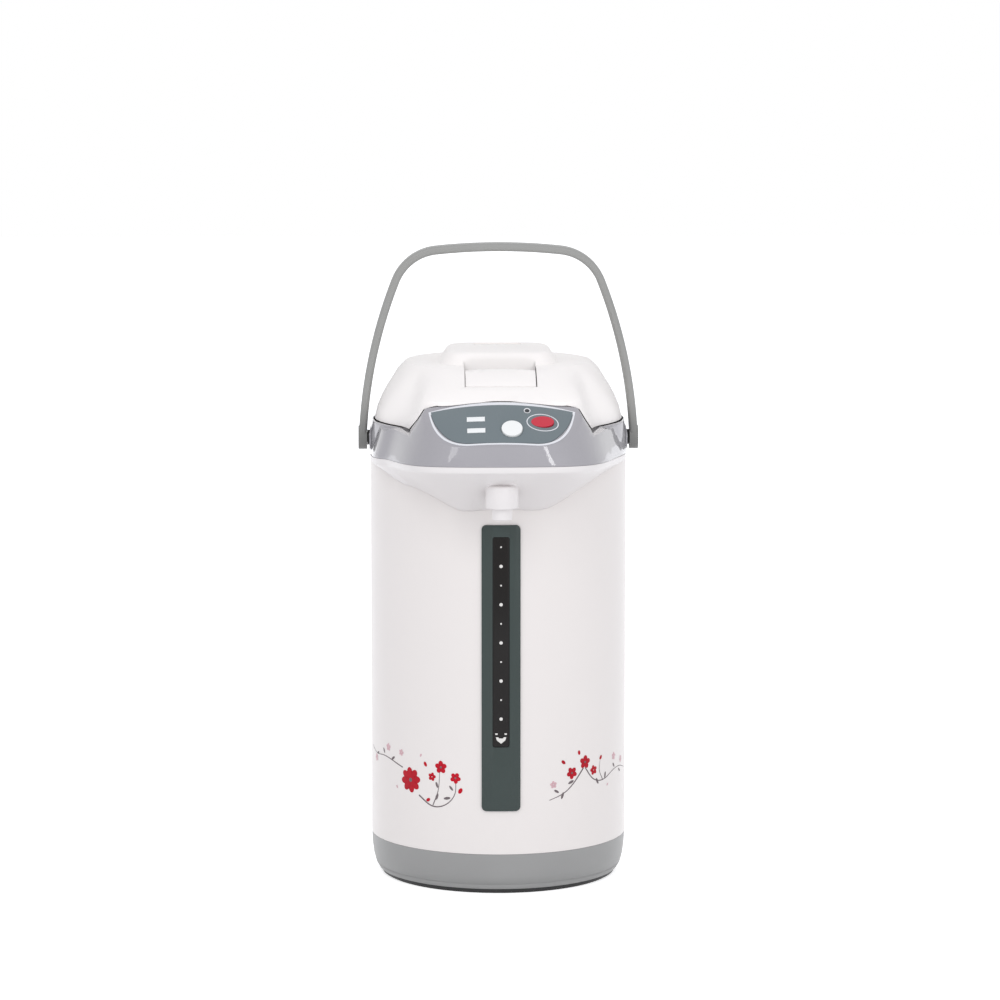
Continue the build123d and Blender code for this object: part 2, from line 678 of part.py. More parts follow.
with BuildPart() as thermostat:
    thermostat_top = POT_BOTTOM_Z - SEAT_GAP
    add(upright(*THERMOSTAT_XY, THERMOSTAT_R, thermostat_top - THERMOSTAT_HEIGHT, thermostat_top))
    tab_z = thermostat_top - THERMOSTAT_HEIGHT - 2
    for side in (-1, 1):
        with Locations((THERMOSTAT_XY[0] + side * 7.5, THERMOSTAT_XY[1], tab_z)):
            Box(1.0, 5.0, 6.0)
finish(thermostat, "thermostat")


# ================================================================ pump and pipes
PUMP_TOP_Z = PUMP_BOTTOM_Z + PUMP_HEIGHT
PUMP_OUTLET_Z = PUMP_BOTTOM_Z + PUMP_HEIGHT / 2
HOSE_START_Y = PUMP_Y - PUMP_R - 1
STUB_R = PIPE_R - PIPE_WALL - FIT_GAP
with BuildPart() as pump_housing:
    add(upright(0, PUMP_Y, PUMP_R, PUMP_BOTTOM_Z, PUMP_TOP_Z))
    add(upright(0, PUMP_Y, PUMP_INLET_R, PUMP_TOP_Z, POT_BOTTOM_Z - SEAT_GAP))
    with Locations(Location((0, PUMP_Y, PUMP_OUTLET_Z), (90, 0, 0))):
        Cylinder(STUB_R, PUMP_R + 7, align=(Align.CENTER, Align.CENTER, Align.MIN))
    add(
        upright(0, PUMP_Y, PUMP_R - PUMP_WALL, PUMP_BOTTOM_Z + PUMP_WALL, PUMP_TOP_Z - PUMP_WALL),
        mode=Mode.SUBTRACT,
    )
    add(upright(0, PUMP_Y, PUMP_INLET_R - 2, PUMP_TOP_Z - 5, POT_BOTTOM_Z + 5), mode=Mode.SUBTRACT)
    with Locations(Location((0, PUMP_Y - PUMP_R + 5, PUMP_OUTLET_Z), (90, 0, 0))):
        Cylinder(STUB_R - 1, 15, align=(Align.CENTER, Align.CENTER, Align.MIN), mode=Mode.SUBTRACT)
    add(upright(0, PUMP_Y, SPINDLE_R, PUMP_BOTTOM_Z + PUMP_WALL - 0.5, PUMP_BOTTOM_Z + PUMP_WALL + 5.5))
finish(pump_housing, "pump_housing")

with BuildPart() as impeller:
    wheel_low = PUMP_BOTTOM_Z + PUMP_WALL + 1.2
    add(upright(0, PUMP_Y, IMPELLER_R, wheel_low, wheel_low + 1.6))
    add(upright(0, PUMP_Y, IMPELLER_HUB_R, wheel_low, wheel_low + 4.8))
    with BuildSketch(Plane.XY.offset(wheel_low)):
        with Locations((0, PUMP_Y)):
            with PolarLocations((IMPELLER_R + IMPELLER_HUB_R) / 2 - 1, IMPELLER_BLADES):
                Rectangle(IMPELLER_R - IMPELLER_HUB_R + 1, 1.2)
    extrude(amount=4.8)
    add(upright(0, PUMP_Y, SPINDLE_R + RUN_GAP, PUMP_BOTTOM_Z, PUMP_TOP_Z), mode=Mode.SUBTRACT)
finish(impeller, "impeller")

with BuildPart() as pump_motor:
    motor_low = BOTTOM_PLATE_Z + BOTTOM_PLATE_THICK + SEAT_GAP
    add(upright(0, PUMP_Y, MOTOR_R, motor_low, MOTOR_TOP_Z - 2))
    add(upright(0, PUMP_Y, 5.0, MOTOR_TOP_Z - 2, MOTOR_TOP_Z))
    shaft_low = MOTOR_TOP_Z - SHAFT_DEPTH - 1
    add(upright(0, PUMP_Y, SHAFT_R + RUN_GAP, shaft_low, MOTOR_TOP_Z + 5), mode=Mode.SUBTRACT)
finish(pump_motor, "pump_motor")

with BuildPart() as motor_rotor:
    yoke_low = PUMP_BOTTOM_Z - 1.0 - YOKE_HEIGHT
    add(upright(0, PUMP_Y, YOKE_R, yoke_low, yoke_low + YOKE_HEIGHT))
    add(upright(0, PUMP_Y, SHAFT_R, MOTOR_TOP_Z - SHAFT_DEPTH, yoke_low))
    with BuildSketch(Plane.XY.offset(yoke_low + YOKE_HEIGHT)):
        with Locations((0, PUMP_Y)):
            with PolarLocations(8.0, 4):
                Circle(2.6)
    extrude(amount=-1.2, mode=Mode.SUBTRACT)
finish(motor_rotor, "motor_rotor")

with BuildPart() as pump_hose:
    with BuildLine() as hose_path:
        FilletPolyline(
            (0, HOSE_START_Y, PUMP_OUTLET_Z),
            (0, TUBE_Y, PUMP_OUTLET_Z),
            (0, TUBE_Y, TUBE_BOTTOM_Z - SEAT_GAP),
            radius=8,
        )
    with BuildSketch(Plane(origin=(0, HOSE_START_Y, PUMP_OUTLET_Z), z_dir=(0, -1, 0))):
        Circle(PIPE_R)
        Circle(PIPE_R - PIPE_WALL, mode=Mode.SUBTRACT)
    sweep()
finish(pump_hose, "pump_hose")

with BuildPart() as gauge_tube:
    with BuildSketch(Plane.XY.offset(TUBE_BOTTOM_Z)):
        with Locations((0, TUBE_Y)):
            Circle(PIPE_R)
            Circle(PIPE_R - PIPE_WALL, mode=Mode.SUBTRACT)
    extrude(amount=TUBE_TOP_Z - TUBE_BOTTOM_Z)
finish(gauge_tube, "gauge_tube")

with BuildPart() as outlet_pipe:
    with BuildLine() as outlet_path:
        FilletPolyline(
            (0, TUBE_Y, TUBE_TOP_Z + SEAT_GAP), (0, TUBE_Y, OUTLET_Z), (0, NOZZLE_Y, OUTLET_Z),
            (0, NOZZLE_Y, NOZZLE_TOP_Z - 5),
            radius=8,
        )
    with BuildSketch(Plane.XY.offset(TUBE_TOP_Z + SEAT_GAP)):
        with Locations((0, TUBE_Y)):
            Circle(PIPE_R)
            Circle(PIPE_R - PIPE_WALL, mode=Mode.SUBTRACT)
    sweep()
finish(outlet_pipe, "outlet_pipe")


# ================================================================ electrics
with BuildPart() as power_board:
    with BuildSketch(Plane.XY.offset(BOARD_Z + FIT_GAP)):
        with Locations(BOARD_CENTRE):
            Rectangle(*BOARD_SIZE)
    extrude(amount=1.6)
    board_top = BOARD_Z + FIT_GAP + 1.6
    add(block(-28, -10, 34, 56, board_top, board_top + 16))
    add(block(-4, 10, 28, 40, board_top, board_top + 11))
    add(upright(20, 52, 6, board_top, board_top + 14))
    add(upright(20, 36, 5, board_top, board_top + 12))
    add(block(0, 12, 52, 60, board_top, board_top + 9))
finish(power_board, "power_board")

INLET_FACE_Y = BODY_R + 1.2
with BuildPart() as power_inlet:
    add(
        block(
            -INLET_HALF_WIDTH, INLET_HALF_WIDTH, INLET_BACK_Y, INLET_FACE_Y,
            INLET_BOTTOM_Z, INLET_BOTTOM_Z + INLET_HEIGHT,
        )
    )
    fillet(power_inlet.edges().filter_by(Axis.Y), 3.0)
    with BuildSketch(Plane(origin=(0, INLET_FACE_Y, INLET_MIDDLE_Z), x_dir=(-1, 0, 0), z_dir=(0, 1, 0))):
        RectangleRounded(
            2 * (INLET_HALF_WIDTH - INLET_RIM), INLET_HEIGHT - 2 * INLET_RIM, 2.0,
        )
    extrude(amount=-INLET_POCKET_DEPTH, mode=Mode.SUBTRACT)
    for side in (-1, 1):
        with Locations(Location((side * 8.0, INLET_BACK_Y, INLET_MIDDLE_Z), (-90, 0, 0))):
            Cylinder(1.6 + FIT_GAP, 8, align=(Align.CENTER, Align.CENTER, Align.MIN), mode=Mode.SUBTRACT)
finish(power_inlet, "power_inlet")

for side, name in ((-1, "inlet_pin_left"), (1, "inlet_pin_right")):
    with BuildPart() as inlet_pin:
        with Locations(Location((side * 8.0, INLET_BACK_Y - 2, INLET_MIDDLE_Z), (-90, 0, 0))):
            Cylinder(1.6, INLET_FACE_Y - INLET_BACK_Y - 1, align=(Align.CENTER, Align.CENTER, Align.MIN))
    finish(inlet_pin, name)


# ================================================================ shoulder collar and console
def on_panel(x, up, depth_from, depth_to, radius):
    """A round plug square to the control panel, between two heights over its plane."""
    with BuildPart() as plug:
        with BuildSketch(PANEL_PLANE.offset(depth_from)):
            with Locations((x, up)):
                Circle(radius)
        extrude(amount=depth_to - depth_from)
    return plug.part


def oval_plug(at, radii, extra, depth_from, depth_to):
    """An oval plug square to the control panel."""
    with BuildPart() as plug:
        with BuildSketch(PANEL_PLANE.offset(depth_from)):
            with Locations(at):
                Ellipse(radii[0] + extra, radii[1] + extra)
        extrude(amount=depth_to - depth_from)
    return plug.part


def bar_plug(at, extra, depth_from, depth_to):
    """A lamp bar's rectangle square to the control panel."""
    with BuildPart() as plug:
        with BuildSketch(PANEL_PLANE.offset(depth_from)):
            with Locations(at):
                Rectangle(LAMP_BAR[0] + 2 * extra, LAMP_BAR[1] + 2 * extra)
        extrude(amount=depth_to - depth_from)
    return plug.part


def panel_plug(extra, depth_from, depth_to):
    """The control panel's outline square to its slope: broad at the top, narrowing to the front."""
    top = (PANEL_TOP_CORNER[0] + extra, PANEL_TOP_CORNER[1] + extra)
    side = (PANEL_SIDE[0] + extra, PANEL_SIDE[1])
    low = (PANEL_LOW_CORNER[0] + 0.6 * extra, PANEL_LOW_CORNER[1] - 0.8 * extra)
    foot = (PANEL_FLAT_HALF, PANEL_LOW - extra)
    with BuildPart() as plug:
        with BuildSketch(PANEL_PLANE.offset(depth_from)):
            with BuildLine():
                ThreePointArc((-top[0], top[1]), (0, PANEL_HIGH + extra), top)
                Spline(top, side, low, foot, tangents=((-0.15, -1), (-1, 0)))
                Line(foot, (-foot[0], foot[1]))
                Spline(
                    (-foot[0], foot[1]), (-low[0], low[1]), (-side[0], side[1]), (-top[0], top[1]),
                    tangents=((-1, 0), (-0.15, 1)),
                )
            make_face()
        extrude(amount=depth_to - depth_from)
    return plug.part


def crown_drop(x):
    """How far the crowned panel has fallen at x, square to its slope."""
    return x * x / (2 * CROWN_R) * cos(PANEL_SLOPE)


DECK_LOW_Z = DECK_Z - DECK_THICK
COLLAR_LOW_Z = CASING_TOP_Z + SEAT_GAP
FLANGE_DEPTH = PLASTIC_WALL + crown_drop(DISPENSE_AT[0] + DISPENSE_RADII[0]) + 0.4
POST_SPOTS = ((-34.0, 10.0), (34.0, 10.0), (-34.0, 31.0), (10.0, 32.0))

with BuildPart() as shoulder_collar:
    add(console_form(0))
    # the hollow of the console stops at the bowl's wall, which rises to the crowned top
    with BuildPart(mode=Mode.PRIVATE) as console_hollow:
        add(console_form(PLASTIC_WALL))
        add(upright(0, 0, COLLAR_R, CUT_LOW_Z, CUT_HIGH_Z), mode=Mode.SUBTRACT)
    add(console_hollow.part, mode=Mode.SUBTRACT)
    add(upright(0, 0, COLLAR_R, COLLAR_LOW_Z, RIM_Z))
    add(upright(0, 0, BOWL_R, CUT_LOW_Z, DECK_LOW_Z), mode=Mode.SUBTRACT)
    with BuildSketch(Plane.XZ):
        ring_profile(SPIGOT_R - 1.6, SPIGOT_R, CASING_TOP_Z - 6, DECK_LOW_Z + 1)
    revolve(axis=Axis.Z)
    # posts for the control board
    for x, up in POST_SPOTS:
        add(on_panel(x, up, -BOARD_DEPTH, -PLASTIC_WALL + 0.3, 2.6))
    # pads for the bail's pivots
    add(crosswise(0, BAIL_PIVOT_Z, BAIL_EYE_R + 0.5, BOWL_R, COLLAR_R + PIVOT_PAD_PROUD))
    add(crosswise(0, BAIL_PIVOT_Z, BAIL_EYE_R + 0.5, -COLLAR_R - PIVOT_PAD_PROUD, -BOWL_R))
    # lugs for the lid hinge
    for side in (-1, 1):
        near = side * (KNUCKLE_HALF_WIDTH + 0.6)
        far = side * (KNUCKLE_HALF_WIDTH + 0.6 + LUG_WIDTH)
        add(crosswise(HINGE_Y, HINGE_Z, KNUCKLE_R, min(near, far), max(near, far)))
        add(block(min(near, far), max(near, far), BOWL_R - 8, HINGE_Y, HINGE_Z - KNUCKLE_R, HINGE_Z + 4.4))
    with BuildPart(mode=Mode.PRIVATE) as bowl_space:
        add(upright(0, 0, BOWL_R, DECK_Z, CUT_HIGH_Z))
        add(upright(0, 0, MOUTH_R + 1, CUT_LOW_Z, CUT_HIGH_Z))
        add(
            block(
                -KNUCKLE_HALF_WIDTH - 0.6, KNUCKLE_HALF_WIDTH + 0.6, POT_R, HINGE_Y + 2 * KNUCKLE_R,
                HINGE_Z - KNUCKLE_R - 1, CUT_HIGH_Z,
            )
        )
    add(bowl_space.part, mode=Mode.SUBTRACT)
    add(crosswise(HINGE_Y, HINGE_Z, HINGE_PIN_R + FIT_GAP, -POT_R, POT_R), mode=Mode.SUBTRACT)
    add(crosswise(0, BAIL_PIVOT_Z, PIVOT_PIN_R + FIT_GAP, -CUT_REACH, CUT_REACH), mode=Mode.SUBTRACT)
    # passage of the outlet pipe and the windows for the lid's catches
    add(block(-6.5, 6.5, -COLLAR_R - 3, -POT_R, CUT_LOW_Z, DECK_LOW_Z - 0.2), mode=Mode.SUBTRACT)
    for side in (-1, 1):
        low_x = side * CLAW_X - 4.6
        high_x = side * CLAW_X + 4.6
        add(
            block(low_x, high_x, -COLLAR_R - 3, -POT_R, CLAW_BOTTOM_Z - 0.5, CLAW_BOTTOM_Z + 6),
            mode=Mode.SUBTRACT,
        )
    # seat of the control panel, holes for the buttons
    with BuildPart(mode=Mode.PRIVATE) as panel_seat:
        add(panel_plug(SEAT_GAP, -12, 12))
        add(console_form(PANEL_THICK - PANEL_PROUD + SEAT_GAP), mode=Mode.SUBTRACT)
        add(on_panel(*UNLOCK_AT, -12, 0, UNLOCK_R + BUTTON_GAP))
        add(oval_plug(DISPENSE_AT, DISPENSE_RADII, BUTTON_GAP, -12, 0))
    add(panel_seat.part, mode=Mode.SUBTRACT)
finish(shoulder_collar, "shoulder_collar")

with BuildPart() as panel_plate:
    add(panel_plug(0, -12, 12))
    add(console_form(-PANEL_PROUD), mode=Mode.INTERSECT)
    add(console_form(PANEL_THICK - PANEL_PROUD), mode=Mode.SUBTRACT)
    add(on_panel(*UNLOCK_AT, -12, 12, UNLOCK_R + BUTTON_GAP), mode=Mode.SUBTRACT)
    add(oval_plug(DISPENSE_AT, DISPENSE_RADII, BUTTON_GAP, -12, 12), mode=Mode.SUBTRACT)
    add(bar_plug(BOIL_LAMP_AT, 0.1, -12, 12), mode=Mode.SUBTRACT)
    add(bar_plug(WARM_LAMP_AT, 0.1, -12, 12), mode=Mode.SUBTRACT)
    add(on_panel(*UNLOCK_LAMP_AT, -12, 12, UNLOCK_LAMP_R + 0.1), mode=Mode.SUBTRACT)
finish(panel_plate, "panel_plate")

for lamp_shape, name in (
    (bar_plug(BOIL_LAMP_AT, 0, -12, 12), "boil_lamp"),
    (bar_plug(WARM_LAMP_AT, 0, -12, 12), "warm_lamp"),
    (on_panel(*UNLOCK_LAMP_AT, -12, 12, UNLOCK_LAMP_R), "unlock_lamp"),
):
    with BuildPart() as lamp:
        add(lamp_shape)
        add(console_form(-PANEL_PROUD - 0.25), mode=Mode.INTERSECT)
        add(console_form(PANEL_THICK - PANEL_PROUD), mode=Mode.SUBTRACT)
    finish(lamp, name)

SWITCH_TOP = -BOARD_DEPTH + SWITCH_HEIGHT
STEM_END = SWITCH_TOP + BUTTON_TRAVEL + SEAT_GAP
with BuildPart() as control_board:
    with BuildSketch(PANEL_PLANE.offset(-BOARD_DEPTH - FIT_GAP)):
        with Locations((0, 20.0)):
            Rectangle(76.0, 30.0)
    extrude(amount=-BOARD_THICK)
    for x, up in (UNLOCK_AT, DISPENSE_AT):
        with BuildSketch(PANEL_PLANE.offset(-BOARD_DEPTH - FIT_GAP)):
            with Locations((x, up)):
                Rectangle(6.2, 6.2)
        extrude(amount=SWITCH_HEIGHT)
finish(control_board, "control_board")

button_top = PANEL_PROUD + BUTTON_PROUD - crown_drop(UNLOCK_AT[0])
with BuildPart() as unlock_button:
    add(on_panel(*UNLOCK_AT, -FLANGE_DEPTH - 1, button_top, UNLOCK_R))
    fillet(unlock_button.edges().sort_by(Axis(PANEL_PLANE.origin, PANEL_PLANE.z_dir))[-1:], 0.6)
    add(on_panel(*UNLOCK_AT, -FLANGE_DEPTH - 1, -FLANGE_DEPTH, UNLOCK_R + 1.2))
    add(on_panel(*UNLOCK_AT, STEM_END, -FLANGE_DEPTH, 2.0))
finish(unlock_button, "unlock_button")

button_top = PANEL_PROUD + BUTTON_PROUD - crown_drop(DISPENSE_AT[0])
with BuildPart() as dispense_button:
    add(oval_plug(DISPENSE_AT, DISPENSE_RADII, 0, -FLANGE_DEPTH - 1, button_top))
    fillet(dispense_button.edges().sort_by(Axis(PANEL_PLANE.origin, PANEL_PLANE.z_dir))[-1:], 0.6)
    add(oval_plug(DISPENSE_AT, DISPENSE_RADII, 1.2, -FLANGE_DEPTH - 1, -FLANGE_DEPTH))
    add(on_panel(*DISPENSE_AT, STEM_END, -FLANGE_DEPTH, 2.0))
finish(dispense_button, "dispense_button")


# ================================================================ spout
with BuildPart() as spout_cover:
    add(beak_form(0))
    add(beak_form(BEAK_WALL), mode=Mode.SUBTRACT)
    add(block(-CUT_REACH, CUT_REACH, BEAK_START_Y, CUT_REACH, CUT_LOW_Z, CUT_HIGH_Z), mode=Mode.SUBTRACT)
    add(upright(0, 0, BODY_R + 0.3, CUT_LOW_Z, CASING_TOP_Z + 0.1), mode=Mode.SUBTRACT)
    add(upright(0, 0, COLLAR_R + 0.3, CASING_TOP_Z, CUT_HIGH_Z), mode=Mode.SUBTRACT)
    add(upright(0, NOZZLE_Y, NOZZLE_R + SEAT_GAP, CUT_LOW_Z, CUT_HIGH_Z), mode=Mode.SUBTRACT)
finish(spout_cover, "spout_cover")

with BuildPart() as spout_sleeve:
    add(upright(0, NOZZLE_Y, SLEEVE_R, SLEEVE_BOTTOM_Z, CASING_TOP_Z))
    fillet(spout_sleeve.edges().group_by(Axis.Z)[0], 1.2)
    add(beak_form(-SEAT_GAP), mode=Mode.SUBTRACT)
    add(upright(0, NOZZLE_Y, NOZZLE_R + SEAT_GAP, CUT_LOW_Z, CUT_HIGH_Z), mode=Mode.SUBTRACT)
finish(spout_sleeve, "spout_sleeve")

with BuildPart() as spout_nozzle:
    add(upright(0, NOZZLE_Y, NOZZLE_R, NOZZLE_BOTTOM_Z, NOZZLE_TOP_Z + 4))
    chamfer(spout_nozzle.edges().group_by(Axis.Z)[0], 0.8)
    add(upright(0, NOZZLE_Y, PIPE_R + SEAT_GAP, NOZZLE_BOTTOM_Z - 5, NOZZLE_TOP_Z + 8), mode=Mode.SUBTRACT)
finish(spout_nozzle, "spout_nozzle")


# ================================================================ water gauge
def gauge_shell(inner_r, outer_r, half_width, low_z, high_z, corner_r):
    """A rounded upright strip bent round the front of the casing."""
    with BuildPart() as strip:
        with BuildSketch(Plane.XZ):
            ring_profile(inner_r, outer_r, low_z, high_z)
        revolve(axis=Axis.Z)
        with BuildPart(mode=Mode.PRIVATE) as cutter:
            with BuildSketch(Plane.XZ):
                with Locations((0, (low_z + high_z) / 2)):
                    RectangleRounded(2 * half_width, high_z - low_z, corner_r)
            extrude(amount=CUT_REACH)
        add(cutter.part, mode=Mode.INTERSECT)
    return strip.part


with BuildPart() as gauge_panel:
    add(
        gauge_shell(
            BODY_R + FIT_GAP, BODY_R + GAUGE_PROUD, GAUGE_HALF_WIDTH, GAUGE_BOTTOM_Z, GAUGE_TOP_Z,
            GAUGE_CORNER_R,
        )
    )
    add(
        gauge_shell(
            BODY_R - 5, BODY_R + 5, WINDOW_HALF_WIDTH + 0.1, WINDOW_BOTTOM_Z - 0.1, WINDOW_TOP_Z + 0.1, 1.6,
        ),
        mode=Mode.SUBTRACT,
    )
finish(gauge_panel, "gauge_panel")

with BuildPart() as gauge_window:
    add(
        gauge_shell(
            BODY_R + FIT_GAP, BODY_R + WINDOW_PROUD, WINDOW_HALF_WIDTH, WINDOW_BOTTOM_Z, WINDOW_TOP_Z, 1.5,
        )
    )
finish(gauge_window, "gauge_window")


# ================================================================ lid
LINER_Z = RIM_Z + LID_GAP + 0.3
NOSE_FLOOR = 2.2
BOSS_SIZE = (2 * CROWN_BOSS_HALF_WIDTH, CROWN_BOSS_BACK - CROWN_BOSS_FRONT)
BOSS_Y = (CROWN_BOSS_BACK + CROWN_BOSS_FRONT) / 2


def boss_form(inset):
    """The raised plateau on the lid's top, drawn in by inset."""
    with BuildPart() as form:
        with BuildSketch(Plane.XY.offset(LID_TOP_Z - 2.6)):
            with Locations((0, BOSS_Y)):
                RectangleRounded(BOSS_SIZE[0] + 3.6 - 2 * inset, BOSS_SIZE[1] + 3.6 - 2 * inset, 24 - inset)
        extrude(amount=BOSS_TOP_Z - LID_TOP_Z + 2.6 - inset, taper=CROWN_BOSS_TAPER)
    return form.part


TUB_WALL = 2.0
TUB_FRONT = LEVER_PIN_Y - LEVER_BARREL_R - LEVER_END_GAP
CLAW_SLOTS = [
    block(
        side * CLAW_X - 4.8, side * CLAW_X + 4.8, -BOWL_R - 0.3, -POT_R, CUT_LOW_Z, POCKET_FLOOR_Z + 0.5,
    )
    for side in (-1, 1)
]

with BuildPart() as lid_cover:
    add(lid_form(0))
    add(lid_form(PLASTIC_WALL), mode=Mode.SUBTRACT)
    add(boss_form(0))
    add(boss_form(PLASTIC_WALL), mode=Mode.SUBTRACT)
    add(crowned_block(LID_GAP), mode=Mode.SUBTRACT)
    # tub under the opening lever, open at its back as a finger pocket
    with BuildPart(mode=Mode.PRIVATE) as tub:
        add(
            block(
                -POCKET_HALF_WIDTH - TUB_WALL, POCKET_HALF_WIDTH + TUB_WALL, TUB_FRONT - TUB_WALL,
                POCKET_BACK + TUB_WALL, POCKET_FLOOR_Z - TUB_WALL, CUT_HIGH_Z,
            )
        )
        add(lid_form(0.3) + boss_form(0.3), mode=Mode.INTERSECT)
    add(tub.part)
    # ears for the lever's pin
    for side in (-1, 1):
        low_x = min(side * 25.6, side * 32)
        high_x = max(side * 25.6, side * 32)
        with BuildPart(mode=Mode.PRIVATE) as ear:
            add(block(low_x, high_x, LEVER_PIN_Y - 4, LEVER_PIN_Y + 4, LEVER_PIN_Z - 4, CUT_HIGH_Z))
            add(lid_form(0.3), mode=Mode.INTERSECT)
        add(ear.part)
    add(
        block(-POCKET_HALF_WIDTH, POCKET_HALF_WIDTH, TUB_FRONT, POCKET_BACK, POCKET_FLOOR_Z, CUT_HIGH_Z),
        mode=Mode.SUBTRACT,
    )
    for slot in CLAW_SLOTS:
        add(slot, mode=Mode.SUBTRACT)
    add(crosswise(LEVER_PIN_Y, LEVER_PIN_Z, LEVER_PIN_R + FIT_GAP, -30, 30), mode=Mode.SUBTRACT)
    # seat of the steam vent
    with BuildSketch(Plane.XY.offset(BOSS_TOP_Z - 5)):
        with Locations((0, VENT_AT_Y)):
            RectangleRounded(VENT_SIZE[0] + 0.4, VENT_SIZE[1] + 0.4, 4.2)
    extrude(amount=10, mode=Mode.SUBTRACT)
    # screw bosses, and the notch over the hinge tongue
    for angle in LID_SCREW_ANGLES:
        x = LID_SCREW_CIRCLE_R * cos(radians(angle))
        y = LID_SCREW_CIRCLE_R * sin(radians(angle))
        add(upright(x, y, BOSS_R, LINER_Z + LINER_THICK + SEAT_GAP, 354))
        add(
            upright(x, y, SCREW_R + FIT_GAP, LINER_Z, LINER_Z + LINER_THICK + 12),
            mode=Mode.SUBTRACT,
        )
    add(
        block(
            -KNUCKLE_HALF_WIDTH - 0.6, KNUCKLE_HALF_WIDTH + 0.6, BOWL_R - 9.9, HINGE_Y + 2 * KNUCKLE_R,
            CUT_LOW_Z, HINGE_Z + 8.2,
        ),
        mode=Mode.SUBTRACT,
    )
finish(lid_cover, "lid_cover")

with BuildPart() as lid_liner:
    with BuildSketch(Plane.XZ):
        ring_profile(0, LINER_R, LINER_Z, LINER_Z + LINER_THICK)
        ring_profile(PLUG_R - 2, PLUG_R, PLUG_BOTTOM_Z, LINER_Z + 1)
        ring_profile(0, PLUG_R, PLUG_BOTTOM_Z, PLUG_BOTTOM_Z + 2)
    revolve(axis=Axis.Z)
    # the floor of the nose, over the console's saddle
    with BuildPart(mode=Mode.PRIVATE) as nose_floor:
        add(lid_form(PLASTIC_WALL + SEAT_GAP))
        add(crowned_block(LID_GAP + 0.4 + NOSE_FLOOR), mode=Mode.INTERSECT)
        with BuildPart(mode=Mode.PRIVATE) as below:
            add(crowned_block(LID_GAP + 0.4))
            add(upright(0, 0, LINER_R - NOSE_FLOOR, LINER_Z + LINER_THICK, CUT_HIGH_Z))
        add(below.part - upright(0, 0, LINER_R, LINER_Z, CUT_HIGH_Z), mode=Mode.SUBTRACT)
        add(upright(0, 0, LINER_R - NOSE_FLOOR, LINER_Z, CUT_HIGH_Z), mode=Mode.SUBTRACT)
        add(block(-CUT_REACH, CUT_REACH, -CUT_REACH, CUT_REACH, CUT_LOW_Z, LINER_Z), mode=Mode.SUBTRACT)
    add(nose_floor.part)
    # tongue and barrel of the hinge
    tongue_top = LINER_Z + LINER_THICK
    add(block(-KNUCKLE_HALF_WIDTH, KNUCKLE_HALF_WIDTH, LINER_R - 7, HINGE_Y + 4, LINER_Z, tongue_top))
    add(block(-KNUCKLE_HALF_WIDTH, KNUCKLE_HALF_WIDTH, HINGE_Y - 4, HINGE_Y + 4, HINGE_Z, tongue_top))
    add(crosswise(HINGE_Y, HINGE_Z, KNUCKLE_R, -KNUCKLE_HALF_WIDTH, KNUCKLE_HALF_WIDTH))
    add(crosswise(HINGE_Y, HINGE_Z, HINGE_PIN_R + RUN_GAP, -POT_R, POT_R), mode=Mode.SUBTRACT)
    for slot in CLAW_SLOTS:
        add(slot, mode=Mode.SUBTRACT)
    # steam passage, holes for the screws of the cover
    add(upright(0, VENT_AT_Y, 5.0, PLUG_BOTTOM_Z - 5, CUT_HIGH_Z), mode=Mode.SUBTRACT)
    for angle in LID_SCREW_ANGLES:
        x = LID_SCREW_CIRCLE_R * cos(radians(angle))
        y = LID_SCREW_CIRCLE_R * sin(radians(angle))
        add(upright(x, y, SCREW_R + FIT_GAP, CUT_LOW_Z, CUT_HIGH_Z), mode=Mode.SUBTRACT)
finish(lid_liner, "lid_liner")

with BuildPart() as lid_plate:
    with BuildSketch(Plane.XZ):
        ring_profile(0, PLUG_R - 2.5, PLUG_BOTTOM_Z - 0.1 - 1.5, PLUG_BOTTOM_Z - 0.1)
    revolve(axis=Axis.Z)
    with BuildSketch(Plane.XY.offset(PLUG_BOTTOM_Z - 5)):
        with Locations((0, VENT_AT_Y)):
            with PolarLocations(6.0, 6):
                Circle(1.5)
            Circle(1.5)
    extrude(amount=6, mode=Mode.SUBTRACT)
finish(lid_plate, "lid_plate")

with BuildPart() as lid_gasket:
    with BuildSketch(Plane.XZ):
        ring_profile(PLUG_R + 0.1, PLUG_R + 3, DECK_Z + 0.4, DECK_Z + 7)
        ring_profile(PLUG_R + 0.1, GASKET_R, DECK_Z + 0.4, DECK_Z + 2.4)
    revolve(axis=Axis.Z)
finish(lid_gasket, "lid_gasket")

CHIMNEY_LOW_Z = LINER_Z + LINER_THICK + 0.1
CHIMNEY_TOP_Z = BOSS_TOP_Z - VENT_THICK - 0.1
with BuildPart() as steam_duct:
    with BuildSketch(Plane.XY.offset(CHIMNEY_LOW_Z)):
        with Locations((0, VENT_AT_Y)):
            RectangleRounded(VENT_SIZE[0] - 1, VENT_SIZE[1] - 1, 3.5)
            RectangleRounded(VENT_SIZE[0] - 4, VENT_SIZE[1] - 4, 2.0, mode=Mode.SUBTRACT)
    extrude(amount=CHIMNEY_TOP_Z - CHIMNEY_LOW_Z)
finish(steam_duct, "steam_duct")

with BuildPart() as steam_vent:
    with BuildSketch(Plane.XY.offset(BOSS_TOP_Z - VENT_THICK)):
        with Locations((0, VENT_AT_Y)):
            RectangleRounded(*VENT_SIZE, 4.0)
            with GridLocations(VENT_SIZE[0] / (VENT_SLOTS + 1), 1, VENT_SLOTS, 1):
                SlotOverall(VENT_SIZE[1] - 5, 2.4, rotation=90, mode=Mode.SUBTRACT)
    extrude(amount=VENT_THICK)
finish(steam_vent, "steam_vent")

